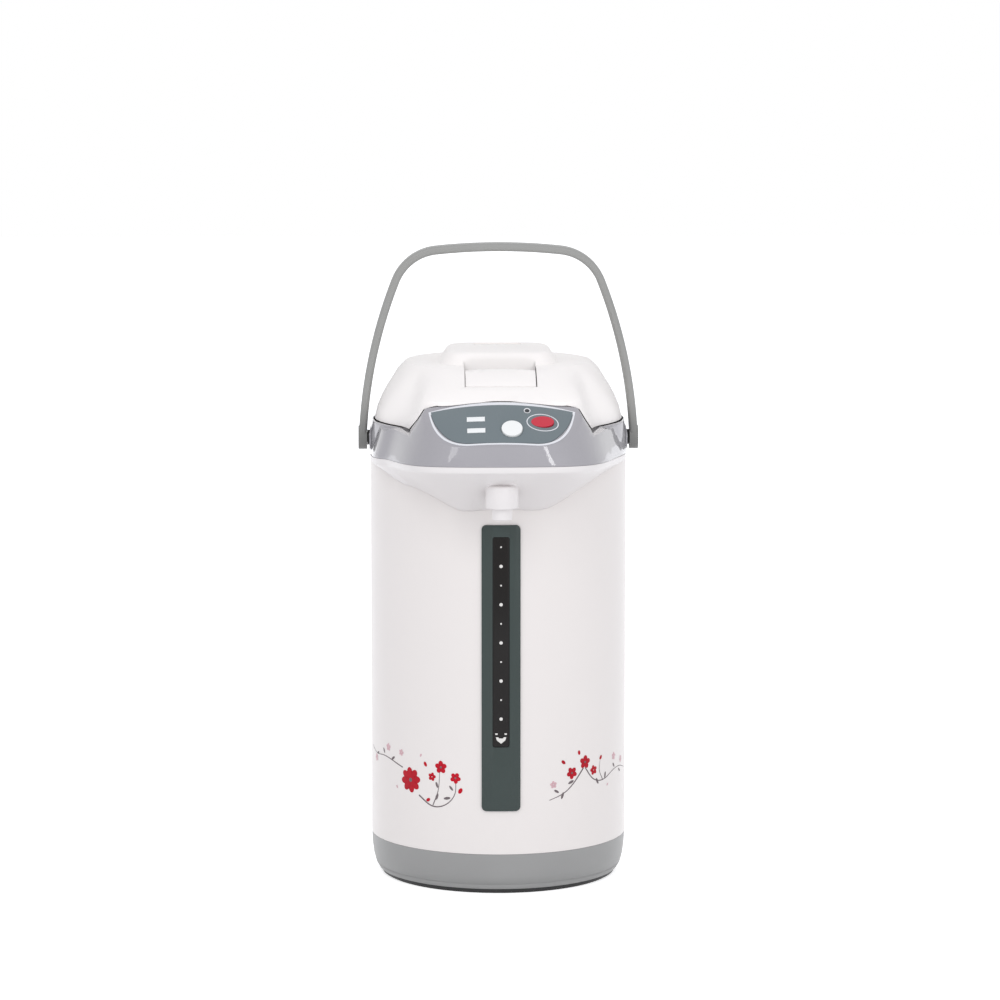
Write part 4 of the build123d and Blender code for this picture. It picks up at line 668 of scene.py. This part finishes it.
def ribbon(name, stems, radius, material):
    """Thin tapering stems through (angle, height) points on the casing, each (points, width)."""
    vertices, faces = [], []
    for points, width in stems:
        flat = [(BODY_R * math.radians(a), z) for a, z in points]
        first = np.subtract(flat[1], flat[0])
        last = np.subtract(flat[-1], flat[-2])
        line = spline(flat, first, last, STEM_STEPS * (len(flat) - 1))
        for index, point in enumerate(line):
            ahead = line[min(index + 1, len(line) - 1)]
            behind = line[max(index - 1, 0)]
            along = np.subtract(ahead, behind)
            along /= np.linalg.norm(along)
            half = width / 2 * (1 - STEM_THINNING * index / (len(line) - 1))
            for side in (1, -1):
                u = point[0] - side * along[1] * half
                z = point[1] + side * along[0] * half
                angle = u / BODY_R
                vertices.append((radius * math.sin(angle), -radius * math.cos(angle), z))
            if index:
                at = len(vertices)
                faces.append((at - 4, at - 3, at - 1, at - 2))
    obj = new_object(name, vertices, faces)
    obj.data.materials.append(material)
    return obj


def wrapped_faces(name, outlines, radius, material):
    """Flat marks given by (across, height) outlines on a round wall."""
    vertices, faces = [], []
    for outline in outlines:
        faces.append(tuple(range(len(vertices) + len(outline) - 1, len(vertices) - 1, -1)))
        for across, height in outline:
            vertices.append((radius * math.sin(across / radius), -radius * math.cos(across / radius), height))
    obj = new_object(name, vertices, faces)
    obj.data.materials.append(material)
    return obj


def blossom(angle, height, count, reach, breadth, spin):
    """The petals of an open flower."""
    marks = []
    for index in range(count):
        turn = spin + 360 * index / count
        away = PETAL_OUT * reach
        marks.append(
            (
                angle + math.degrees(away * math.cos(math.radians(turn)) / BODY_R),
                height + away * math.sin(math.radians(turn)), turn, reach, breadth,
            )
        )
    return marks


# ---- finishes
def srgb(red, green, blue):
    """A display colour as linear values."""
    shown = (c / 255 for c in (red, green, blue))
    return tuple(((c + 0.055) / 1.055) ** 2.4 if c > 10 / 255 else c / 12.92 for c in shown) + (1.0,)


def noise(tree, where, scale, detail):
    """A cloudy value over an object's surface."""
    node = add_node(tree, "ShaderNodeTexNoise", {"Vector": where, "Scale": scale, "Detail": detail})
    return node.outputs["Fac"]


def finish_material(
    name, colour, roughness=0.35, metallic=0.0, coat=0.0, speck=0.02, grain_scale=900.0, grain=0.05,
    wave=0.0, specular=0.5, coat_roughness=0.05,
):
    """A moulded, lacquered or metal finish: slight colour drift, uneven gloss and a fine grain."""
    material = bpy.data.materials.new(name)
    material.use_nodes = True
    tree = material.node_tree
    where = add_node(tree, "ShaderNodeTexCoord").outputs["Object"]
    ramp = add_node(tree, "ShaderNodeValToRGB", {"Fac": noise(tree, where, DRIFT_SCALE, 4.0)})
    for stop, place, share in zip(ramp.color_ramp.elements, (0.3, 0.7), (1 - speck, 1 + speck)):
        stop.position = place
        stop.color = tuple(min(1.0, c * share) for c in colour[:3]) + (1.0,)
    gloss = add_node(
        tree, "ShaderNodeMapRange",
        {
            "Value": noise(tree, where, GLOSS_SCALE, 3.0), "To Min": roughness * 0.85,
            "To Max": min(1.0, roughness * 1.15),
        },
    )
    relief = add_node(
        tree, "ShaderNodeBump",
        {"Height": noise(tree, where, grain_scale, 2.0), "Strength": grain, "Distance": GRAIN_DEPTH},
    )
    if wave:
        relief = add_node(
            tree, "ShaderNodeBump",
            {
                "Height": noise(tree, where, WAVE_SCALE, 1.0), "Strength": wave, "Distance": WAVE_DEPTH,
                "Normal": relief.outputs["Normal"],
            },
        )
    wanted = {
        "Base Color": ramp.outputs["Color"], "Roughness": gloss.outputs["Result"],
        "Normal": relief.outputs["Normal"], "Metallic": metallic, "Coat Weight": coat,
        "Coat Roughness": coat_roughness, "Specular IOR Level": specular,
    }
    for key, value in wanted.items():
        set_or_link(tree, tree.nodes["Principled BSDF"].inputs[key], value)
    return material


FINISHES = {}


def finish(name, colour=None):
    """The named finish, made once, in its usual colour or in one that a user chose."""
    if name not in FINISHES:
        label, usual, options = FINISH_RECIPES[name]
        FINISHES[name] = finish_material(label, tuple(colour or srgb(*usual)), **options)
    return FINISHES[name]


def painted_shade_by_height(material, heights, shade):
    """Paints shade into a finish: darker from an upper height down to a lower one, as towards the foot of the
    bail, where less light reaches.
    """
    tree = material.node_tree
    base = tree.nodes["Principled BSDF"].inputs["Base Color"]
    where = add_node(tree, "ShaderNodeTexCoord").outputs["Object"]
    parts = add_node(tree, "ShaderNodeSeparateXYZ", {"Vector": where})
    span = add_node(
        tree, "ShaderNodeMapRange",
        {
            "Value": parts.outputs["Z"], "From Min": heights[0] * MM, "From Max": heights[1] * MM,
            "To Min": shade, "To Max": 1.0,
        },
        interpolation_type="SMOOTHSTEP",
    )
    scaled = add_node(
        tree, "ShaderNodeVectorMath", {0: base.links[0].from_socket, "Scale": span.outputs["Result"]},
        operation="SCALE",
    )
    tree.links.new(scaled.outputs["Vector"], base)


def ringed_material(name, centre, radius, inner, outer):
    """A small lens: one colour inside a radius and another round it."""
    material = finish_material(name, outer, roughness=0.3, grain=0.03)
    tree = material.node_tree
    base = tree.nodes["Principled BSDF"].inputs["Base Color"]
    where = add_node(tree, "ShaderNodeTexCoord").outputs["Object"]
    reach = add_node(
        tree, "ShaderNodeVectorMath", {0: where, 1: [c * MM for c in centre]}, operation="DISTANCE"
    )
    edge = add_node(
        tree, "ShaderNodeMapRange",
        {"Value": reach.outputs["Value"], "From Min": (radius - 0.1) * MM, "From Max": (radius + 0.1) * MM},
    )
    # Of the mix's sockets, 6 and 7 take the two colours and 2 gives the mixed one.
    mix = add_node(
        tree, "ShaderNodeMix",
        {"Factor": edge.outputs["Result"], 6: inner, 7: base.links[0].from_socket}, data_type="RGBA",
    )
    tree.links.new(mix.outputs[2], base)
    return material


# What each finish is called, its display colour and how it differs from a plain moulding.
FINISH_RECIPES = {
    "enamel": (
        "casing_enamel", (234, 229, 226),
        dict(roughness=0.3, speck=0.004, grain=0.01, wave=0.02, specular=0.25),
    ),
    "lid": ("lid_white", (251, 247, 244), dict(roughness=0.4, speck=0.008, grain=0.05, specular=0.35)),
    "beak": ("beak_white", (232, 228, 227), dict(roughness=0.34, speck=0.01, grain=0.05)),
    "silver": (
        "silver_lacquer", (160, 158, 163),
        dict(
            roughness=0.5, metallic=0.1, coat=1.0, coat_roughness=0.04, speck=0.03, grain_scale=2600,
            grain=0.03, specular=0.3,
        ),
    ),
    "rim": ("silver_edge", (226, 227, 231), dict(roughness=0.35, coat=0.2, speck=0.01, grain=0.03)),
    "handle": ("handle_grey", (152, 152, 149), dict(roughness=0.45, speck=0.03, grain=0.10)),
    "base": ("base_grey", (150, 150, 149), dict(roughness=0.40, speck=0.03, grain=0.08)),
    "black": ("black_moulding", (24, 24, 25), dict(roughness=0.45, speck=0.08, grain=0.12)),
    "rubber": ("foot_rubber", (20, 20, 21), dict(roughness=0.75, speck=0.1, grain=0.25)),
    "steel": ("bright_steel", (190, 190, 192), dict(roughness=0.28, metallic=1.0, speck=0.02, grain=0.04)),
    "coat": ("pot_lining", (92, 92, 96), dict(roughness=0.38, metallic=0.2, speck=0.06, grain=0.1)),
    "gauge": ("gauge_panel_green", (56, 66, 64), dict(roughness=0.4, speck=0.03, grain=0.05, specular=0.3)),
    "window": (
        "gauge_window_black", (16, 12, 11), dict(roughness=0.25, speck=0.3, grain=0.02, specular=0.25),
    ),
    "panel": ("panel_grey", (112, 122, 126), dict(roughness=0.4, speck=0.02, grain=0.04, specular=0.35)),
    "lamp": ("lamp_milk", (238, 240, 240), dict(roughness=0.30, speck=0.01, grain=0.03)),
    "button": ("button_white", (240, 241, 240), dict(roughness=0.32, speck=0.01, grain=0.03)),
    "red": ("button_red", (196, 42, 62), dict(roughness=0.33, speck=0.04, grain=0.04)),
    "silicone": ("seal_silicone", (190, 190, 186), dict(roughness=0.55, speck=0.02, grain=0.1)),
    "pump": ("pump_moulding", (222, 220, 212), dict(roughness=0.45, speck=0.02, grain=0.1)),
    "board": ("board_green", (30, 96, 58), dict(roughness=0.40, speck=0.1, grain=0.05)),
    "heater": ("heater_foil", (180, 178, 172), dict(roughness=0.42, metallic=0.8, speck=0.05, grain=0.2)),
    "marks": ("level_marks_white", (226, 224, 220), dict(roughness=0.5, speck=0.01, grain=0.03)),
    # Painted shade for the walls of the gaps beside the lid's lever.
    "gap_painted_shade": ("lid_gap_painted_shade", (96, 94, 93), dict(roughness=0.6, speck=0.02, grain=0.05, specular=0.2)),
    "crimson": ("print_crimson", (186, 10, 34), dict(roughness=0.4, speck=0.3, grain=0.04, specular=0.2)),
    "ink": ("print_ink", (112, 102, 104), dict(roughness=0.4, speck=0.2, grain=0.04, specular=0.2)),
    "blush": ("print_blush", (214, 176, 182), dict(roughness=0.4, speck=0.08, grain=0.04, specular=0.3)),
}


# ---- what a user can change
def length(name, description, default):
    """A short length, its default in millimetres."""
    return bpy.props.FloatProperty(
        name=name, description=description, default=default * MM, min=0.0, max=20 * MM, unit="LENGTH",
        subtype="DISTANCE", precision=5,
    )


def tint(name, description, recipe):
    """A surface colour, which starts as the finish's usual one."""
    return bpy.props.FloatVectorProperty(
        name=name, description=description, default=srgb(*FINISH_RECIPES[recipe][1]), size=4, min=0.0,
        max=1.0, subtype="COLOR",
    )


class CasingSettings(bpy.types.PropertyGroup):
    """The enamelled casing."""

    enamel: tint("Enamel", "Colour of the enamelled casing", "enamel")


class CollarSettings(bpy.types.PropertyGroup):
    """The silver shoulder collar with its console."""

    lacquer: tint("Lacquer", "Colour of the silver lacquer", "silver")
    edge: length("Edge width", "Width of the rounding along the collar's edges", 0.5)


class LidSettings(bpy.types.PropertyGroup):
    """The lid and what it carries."""

    colour: tint("Plastic", "Colour of the lid's moulding", "lid")
    edge: length("Edge width", "Width of the rounding along the edges of the lid and its lever", 0.4)


class BailSettings(bpy.types.PropertyGroup):
    """The carrying bail."""

    colour: tint("Plastic", "Colour of the bail", "handle")
    edge: length("Edge width", "Width of the rounding along the bail's edges", 1.7)


class StageSettings(bpy.types.PropertyGroup):
    """Floor, lamps and camera."""

    lens: bpy.props.FloatProperty(
        name="Lens", description="Focal length in millimetres", default=161.06, min=20.0
    )
    key: bpy.props.FloatProperty(
        name="Key lamp", description="Power of the large lamp", default=11.0, unit="POWER"
    )
    fill: bpy.props.FloatProperty(
        name="Fill lamp", description="Power of the narrow lamp", default=7.5, unit="POWER"
    )
    floor_lift: bpy.props.FloatProperty(
        name="Floor white", description="How far the floor is lifted to white where no shadow falls",
        default=0.62, min=0.0, max=1.0, subtype="FACTOR",
    )


SETTINGS = {
    "pot_casing": CasingSettings,
    "pot_collar": CollarSettings,
    "pot_lid": LidSettings,
    "pot_bail": BailSettings,
    "pot_stage": StageSettings,
}


# ---- pieces
def refined(node, material, edge=0.0, angle=32.0, segments=2):
    """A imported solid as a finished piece: joined up, its edges eased, in its own finish."""
    obj = merged_copy(node)
    if edge:
        bevelled(obj, edge, segments=segments)
    body = body_of(frame["nodes"][node])[0]
    return dress(obj, body, material, (node,), angle)


def carried(material, *nodes):
    """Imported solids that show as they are, in a better finish."""
    for node in nodes:
        for place in frame["nodes"][node].material_slots:
            place.material = material


class BuildOperator(bpy.types.Operator):
    """What the piece builders share."""

    bl_options = {"REGISTER", "UNDO"}

    def execute(self, context):
        self.build(context.scene)
        return {"FINISHED"}


class THERMOPOT_OT_casing(BuildOperator):
    """Builds the enamelled casing."""

    bl_idname = "thermo_pot.casing"
    bl_label = "Casing"

    def build(self, scene):
        refined("outer_casing", finish("enamel", scene.pot_casing.enamel))
        radius = BODY_R + PRINT_LIFT
        prints = [ribbon("stems", STEMS, radius, finish("ink"))]
        for name, lift, flowers, single in PETALS:
            marks = [mark for flower in flowers for mark in blossom(*flower)] + list(single)
            prints.append(petals(f"petals_{name}", marks, radius + lift, finish(name)))
        printed("casing_print", "pot", "casing_enamel", *prints)


class THERMOPOT_OT_base(BuildOperator):
    """Builds the base ring and the swivel stand."""

    bl_idname = "thermo_pot.base"
    bl_label = "Base and stand"

    def build(self, scene):
        refined("base_ring", finish("base"))
        refined("turntable", finish("black"), edge=0.3)
        refined("foot_ring", finish("rubber"), edge=0.3)
        refined("power_inlet", finish("black"), edge=0.3)
        carried(finish("black"), "bottom_plate", "swivel_retainer", "thermostat")
        carried(
            finish("steel"), "swivel_screw", "base_screw_1", "base_screw_2", "base_screw_3", "base_screw_4",
            "inlet_pin_left", "inlet_pin_right",
        )


class THERMOPOT_OT_collar(BuildOperator):
    """Builds the silver collar, its console and the control panel."""

    bl_idname = "thermo_pot.collar"
    bl_label = "Collar and console"

    def build(self, scene):
        collar = merged_copy("shoulder_collar")
        for vertex in collar.data.vertices:
            x, y, z = vertex.co / MM
            if abs(x) > PIVOT_PAD_X and math.hypot(y, z - BAIL_PIVOT_Z) < PIVOT_PAD_R:
                vertex.co.x = math.copysign(PIVOT_PAD_X * MM, x)
        bevelled(collar, scene.pot_collar.edge / MM, segments=2, angle=48)
        rim_drawn_in(collar)
        silver = finish("silver", scene.pot_collar.lacquer)
        dress(collar, "pot", silver, ("shoulder_collar",), angle=50)
        outlines = (panel_outline(grow, grow_top) for grow, grow_top in RIM_EDGES)
        rim = strip_between("panel_rim", *outlines, RIM_HEIGHT)
        dress(rim, "pot", finish("rim"))
        for side, end in ((-1, "left"), (1, "right")):
            inner, outer = ((side * x, 0, BAIL_PIVOT_Z) for x in WASHER_X)
            washer = rod(inner, outer, WASHER_R, name=f"washer_{end}")
            dress(washer, "pot", finish("black"))
        refined("panel_plate", finish("panel"), edge=0.15)
        for node in ("boil_lamp", "warm_lamp"):
            refined(node, finish("lamp"), edge=0.1)
        colours = (srgb(*colour) for colour in UNLOCK_LENS_COLOURS)
        lens = ringed_material("unlock_lens", panel_point(*UNLOCK_LENS_AT), UNLOCK_LENS_R, *colours)
        refined("unlock_lamp", lens, edge=0.1)
        ring = oval_ring("dispense_ring", *DISPENSE_RING)
        dress(ring, "pot", finish("rim"))
        refined("unlock_button", finish("button"), edge=0.2)
        well = oval_ring("dispense_well", *DISPENSE_WELL)
        dress(well, "pot", finish("panel"))
        self.dispense_cap()
        carried(finish("board"), "control_board", "power_board")

    def dispense_cap(self):
        """The dispense button with a smaller and flatter cap than its solid."""
        button = merged_copy("dispense_button")
        across, up_slope = DISPENSE_AT
        middle = Vector(panel_point(across, up_slope, 0)) * MM
        up = (Vector(panel_point(across, up_slope + 1, 0)) * MM - middle).normalized()
        out = (Vector(panel_point(across, up_slope, 1)) * MM - middle).normalized()
        wide, long, proud = DISPENSE_CAP
        for vertex in button.data.vertices:
            away = vertex.co - middle
            height = away.dot(out)
            low = height if height < 0 else proud * height
            vertex.co = middle + Vector((wide * away.x, 0, 0)) + long * away.dot(up) * up + low * out
        bevelled(button, 0.3)
        dress(button, "dispense_button", finish("red"), ("dispense_button",))


class THERMOPOT_OT_spout(BuildOperator):
    """Builds the spout cover and its nozzle."""

    bl_idname = "thermo_pot.spout"
    bl_label = "Spout"

    def build(self, scene):
        refined("spout_cover", finish("beak"), edge=0.4)
        low, high = ((0, NOZZLE_Y, z) for z in SLEEVE_Z)
        sleeve = rod(low, high, SLEEVE_R, segments=72, name="sleeve")
        picked_edges_rounded(sleeve, (SLEEVE_Z[1] - 1, math.inf), ANY_ANGLE, SLEEVE_ROUND, 5)
        bevelled(sleeve, 0.5, segments=2, angle=40)
        low, high = ((0, NOZZLE_Y, z) for z in ROOT_Z)
        root = rod(low, high, ROOT_R, segments=72, name="sleeve_root")
        cut_flat(root, ROOT_CUT_AT, ROOT_CUT_NORMAL)
        dress(root, "pot", finish("beak"))
        dress(sleeve, "pot", finish("beak"), ("spout_sleeve",))
        refined("spout_nozzle", finish("beak"), edge=0.3)


class THERMOPOT_OT_gauge(BuildOperator):
    """Builds the water gauge."""

    bl_idname = "thermo_pot.gauge"
    bl_label = "Water gauge"

    def build(self, scene):
        refined("gauge_panel", finish("gauge"), edge=0.3)
        refined("gauge_window", finish("window"), edge=0.15)
        radius = -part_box("gauge_window")[0][1] / MM + MARKS_LIFT
        seed = new_object("level_dots", [(0, 0, 0)], [])
        values = LEVEL_MARKS | {"Radius": radius * MM, "Material": finish("marks")}
        dots = grown(seed, level_marks_tree(), values)
        low_mark = wrapped_faces("refill_mark", REFILL_MARK, radius, finish("marks"))
        printed("gauge_marks", "pot", "lamp_white", dots, low_mark)


class THERMOPOT_OT_lid(BuildOperator):
    """Builds the lid with its lever, vent and seals."""

    bl_idname = "thermo_pot.lid"
    bl_label = "Lid"

    def build(self, scene):
        cover = merged_copy("lid_cover")
        for heights, angles, radius, segments in LID_EDGES:
            picked_edges_rounded(cover, heights, angles, radius, segments)
        edge = scene.pot_lid.edge / MM
        bevelled(cover, edge, segments=2, angle=40)
        dress(cover, "lid", finish("lid", scene.pot_lid.colour), ("lid_cover",))
        lever = refined("lid_lever", finish("lid"), edge=edge)
        # Painted shade: the walls of the gaps beside the lever are darkened.
        for piece in (cover, lever):
            gap_walls_painted_shade(piece, finish("gap_painted_shade"))
        vent = merged_copy("steam_vent")
        for vertex in vent.data.vertices:
            vertex.co.z -= VENT_SINK * MM
        bevelled(vent, 0.3, segments=2)
        dress(vent, "lid", finish("lid"), ("steam_vent",))
        refined("lid_liner", finish("lid"), edge=0.3)
        refined("lid_plate", finish("steel"), angle=20.0)
        refined("lid_gasket", finish("silicone"), edge=0.3)
        carried(finish("pump"), "steam_duct")
        carried(
            finish("steel"), "lid_screw_1", "lid_screw_2", "lid_screw_3", "lid_screw_4", "lever_pin",
            "hinge_pin",
        )


class THERMOPOT_OT_bail(BuildOperator):
    """Builds the carrying bail and its pivots."""

    bl_idname = "thermo_pot.bail"
    bl_label = "Carrying bail"

    def build(self, scene):
        grey = finish("handle", scene.pot_bail.colour)
        # Painted shade: the bail's grey is darkened towards its foot.
        painted_shade_by_height(grey, BAIL_PAINTED_SHADE_Z, BAIL_PAINTED_SHADE)
        refined("handle", grey, edge=scene.pot_bail.edge / MM, segments=4)
        refined("handle_pivot_left", finish("black"), edge=0.2)
        refined("handle_pivot_right", finish("black"), edge=0.2)


class THERMOPOT_OT_inside(BuildOperator):
    """Finishes what shows inside the pot and what lies behind the casing."""

    bl_idname = "thermo_pot.inside"
    bl_label = "Inside"

    def build(self, scene):
        refined("inner_pot", finish("coat"))
        refined("pot_seal", finish("silicone"), edge=0.2)
        carried(finish("heater"), "heater_band")
        carried(finish("pump"), "pump_housing", "impeller")
        carried(finish("steel"), "pump_motor", "motor_rotor")
        carried(finish("silicone"), "pump_hose", "outlet_pipe", "gauge_tube")


class THERMOPOT_OT_stage(BuildOperator):
    """Sets the floor, the lamps and the camera."""

    bl_idname = "thermo_pot.stage"
    bl_label = "Stage"

    def build(self, scene):
        settings = scene.pot_stage
        camera = bpy.data.cameras.new("camera")
        camera.lens = settings.lens
        camera.sensor_width = 36.0
        camera.sensor_fit = "HORIZONTAL"
        camera.shift_x = CAMERA_SHIFT_X
        camera.clip_end = 50.0
        viewer = bpy.data.objects.new("camera", camera)
        bpy.context.collection.objects.link(viewer)
        aimed(viewer, CAMERA_AT, CAMERA_AIM)
        scene.camera = viewer
        corners = [(x * FLOOR_REACH, y * FLOOR_REACH, 0) for x, y in ((-1, -1), (1, -1), (1, 1), (-1, 1))]
        floor = new_object("floor", corners, [(0, 1, 2, 3)])
        floor.data.materials.append(stage_white(settings.floor_lift))
        lamp(scene, "key", settings.key, size=(0.8, 1.5), place=(-0.8, -2.12, 1.9))
        lamp(scene, "fill", settings.fill, size=(0.18, 1.5), place=(0.98, -2.05, 1.2))
        scene.world = bpy.data.worlds.new("studio")
        scene.world.use_nodes = True
        tree = scene.world.node_tree
        sky = tree.nodes["Background"]
        sky.inputs["Color"].default_value = SKY_COLOUR
        sky.inputs["Strength"].default_value = SKY_STRENGTH
        shown = add_node(tree, "ShaderNodeBackground", {"Color": (1.0, 1.0, 1.0, 1.0)})
        both = add_node(
            tree, "ShaderNodeMixShader",
            {"Fac": seen_straight(tree), 1: sky.outputs["Background"], 2: shown.outputs["Background"]},
        )
        tree.links.new(both.outputs["Shader"], tree.nodes["World Output"].inputs["Surface"])
        scene.view_settings.view_transform = "Standard"


def aimed(obj, place, aim):
    """Puts a camera or a lamp at a place and points it at another."""
    obj.location = place
    obj.rotation_euler = (Vector(aim) - obj.location).to_track_quat("-Z", "Y").to_euler()


def lamp(scene, name, power, size, place):
    """A soft lamp, wide by high, that faces the pot."""
    light = bpy.data.lights.new(name, "AREA")
    light.energy = power
    light.shape = "RECTANGLE"
    light.size, light.size_y = size
    obj = bpy.data.objects.new(name, light)
    scene.collection.objects.link(obj)
    aimed(obj, place, LAMP_AIM)


def seen_straight(tree):
    """1 for rays from the camera, a mirror or a clear pane, and 0 for those that light the pot."""
    rays = add_node(tree, "ShaderNodeLightPath").outputs
    seen = rays["Is Camera Ray"]
    for kind in ("Is Glossy Ray", "Is Transmission Ray"):
        seen = add_node(tree, "ShaderNodeMath", {0: seen, 1: rays[kind]}, operation="MAXIMUM").outputs[0]
    return seen


def stage_white(lift):
    """A white floor that keeps the pot's shadow."""
    material = bpy.data.materials.new("stage_white")
    material.use_nodes = True
    tree = material.node_tree
    shader = tree.nodes["Principled BSDF"]
    shader.inputs["Base Color"].default_value = (0.9, 0.9, 0.9, 1.0)
    shader.inputs["Roughness"].default_value = 0.9
    shader.inputs["Specular IOR Level"].default_value = 0.0
    gain = add_node(tree, "ShaderNodeMath", {0: seen_straight(tree), 1: lift}, operation="MULTIPLY")
    glow = add_node(tree, "ShaderNodeEmission", {"Strength": gain.outputs["Value"]})
    both = add_node(
        tree, "ShaderNodeAddShader", {0: shader.outputs["BSDF"], 1: glow.outputs["Emission"]}
    )
    tree.links.new(both.outputs["Shader"], tree.nodes["Material Output"].inputs["Surface"])
    return material


# ---- the add-on
OPERATORS = (
    THERMOPOT_OT_casing,
    THERMOPOT_OT_base,
    THERMOPOT_OT_collar,
    THERMOPOT_OT_spout,
    THERMOPOT_OT_gauge,
    THERMOPOT_OT_lid,
    THERMOPOT_OT_bail,
    THERMOPOT_OT_inside,
    THERMOPOT_OT_stage,
)


class THERMOPOT_PT_pieces(bpy.types.Panel):
    """Lists the pieces of the thermo pot in the sidebar."""

    bl_label = "Thermo Pot"
    bl_idname = "THERMOPOT_PT_pieces"
    bl_space_type = "VIEW_3D"
    bl_region_type = "UI"
    bl_category = "Thermo Pot"

    def draw(self, context):
        for operator in OPERATORS:
            self.layout.operator(operator.bl_idname)
        for name, group in SETTINGS.items():
            area = self.layout.box()
            for key in group.__annotations__:
                area.prop(getattr(context.scene, name), key)


def register():
    for group in SETTINGS.values():
        bpy.utils.register_class(group)
    for name, group in SETTINGS.items():
        setattr(bpy.types.Scene, name, bpy.props.PointerProperty(type=group))
    for operator in OPERATORS:
        bpy.utils.register_class(operator)
    bpy.utils.register_class(THERMOPOT_PT_pieces)


def unregister():
    bpy.utils.unregister_class(THERMOPOT_PT_pieces)
    for operator in reversed(OPERATORS):
        bpy.utils.unregister_class(operator)
    for name in SETTINGS:
        delattr(bpy.types.Scene, name)
    for group in SETTINGS.values():
        bpy.utils.unregister_class(group)


def main():
    register()
    for operator in OPERATORS:
        family, name = operator.bl_idname.split(".")
        getattr(getattr(bpy.ops, family), name)()


if __name__ == "__main__":
    main()
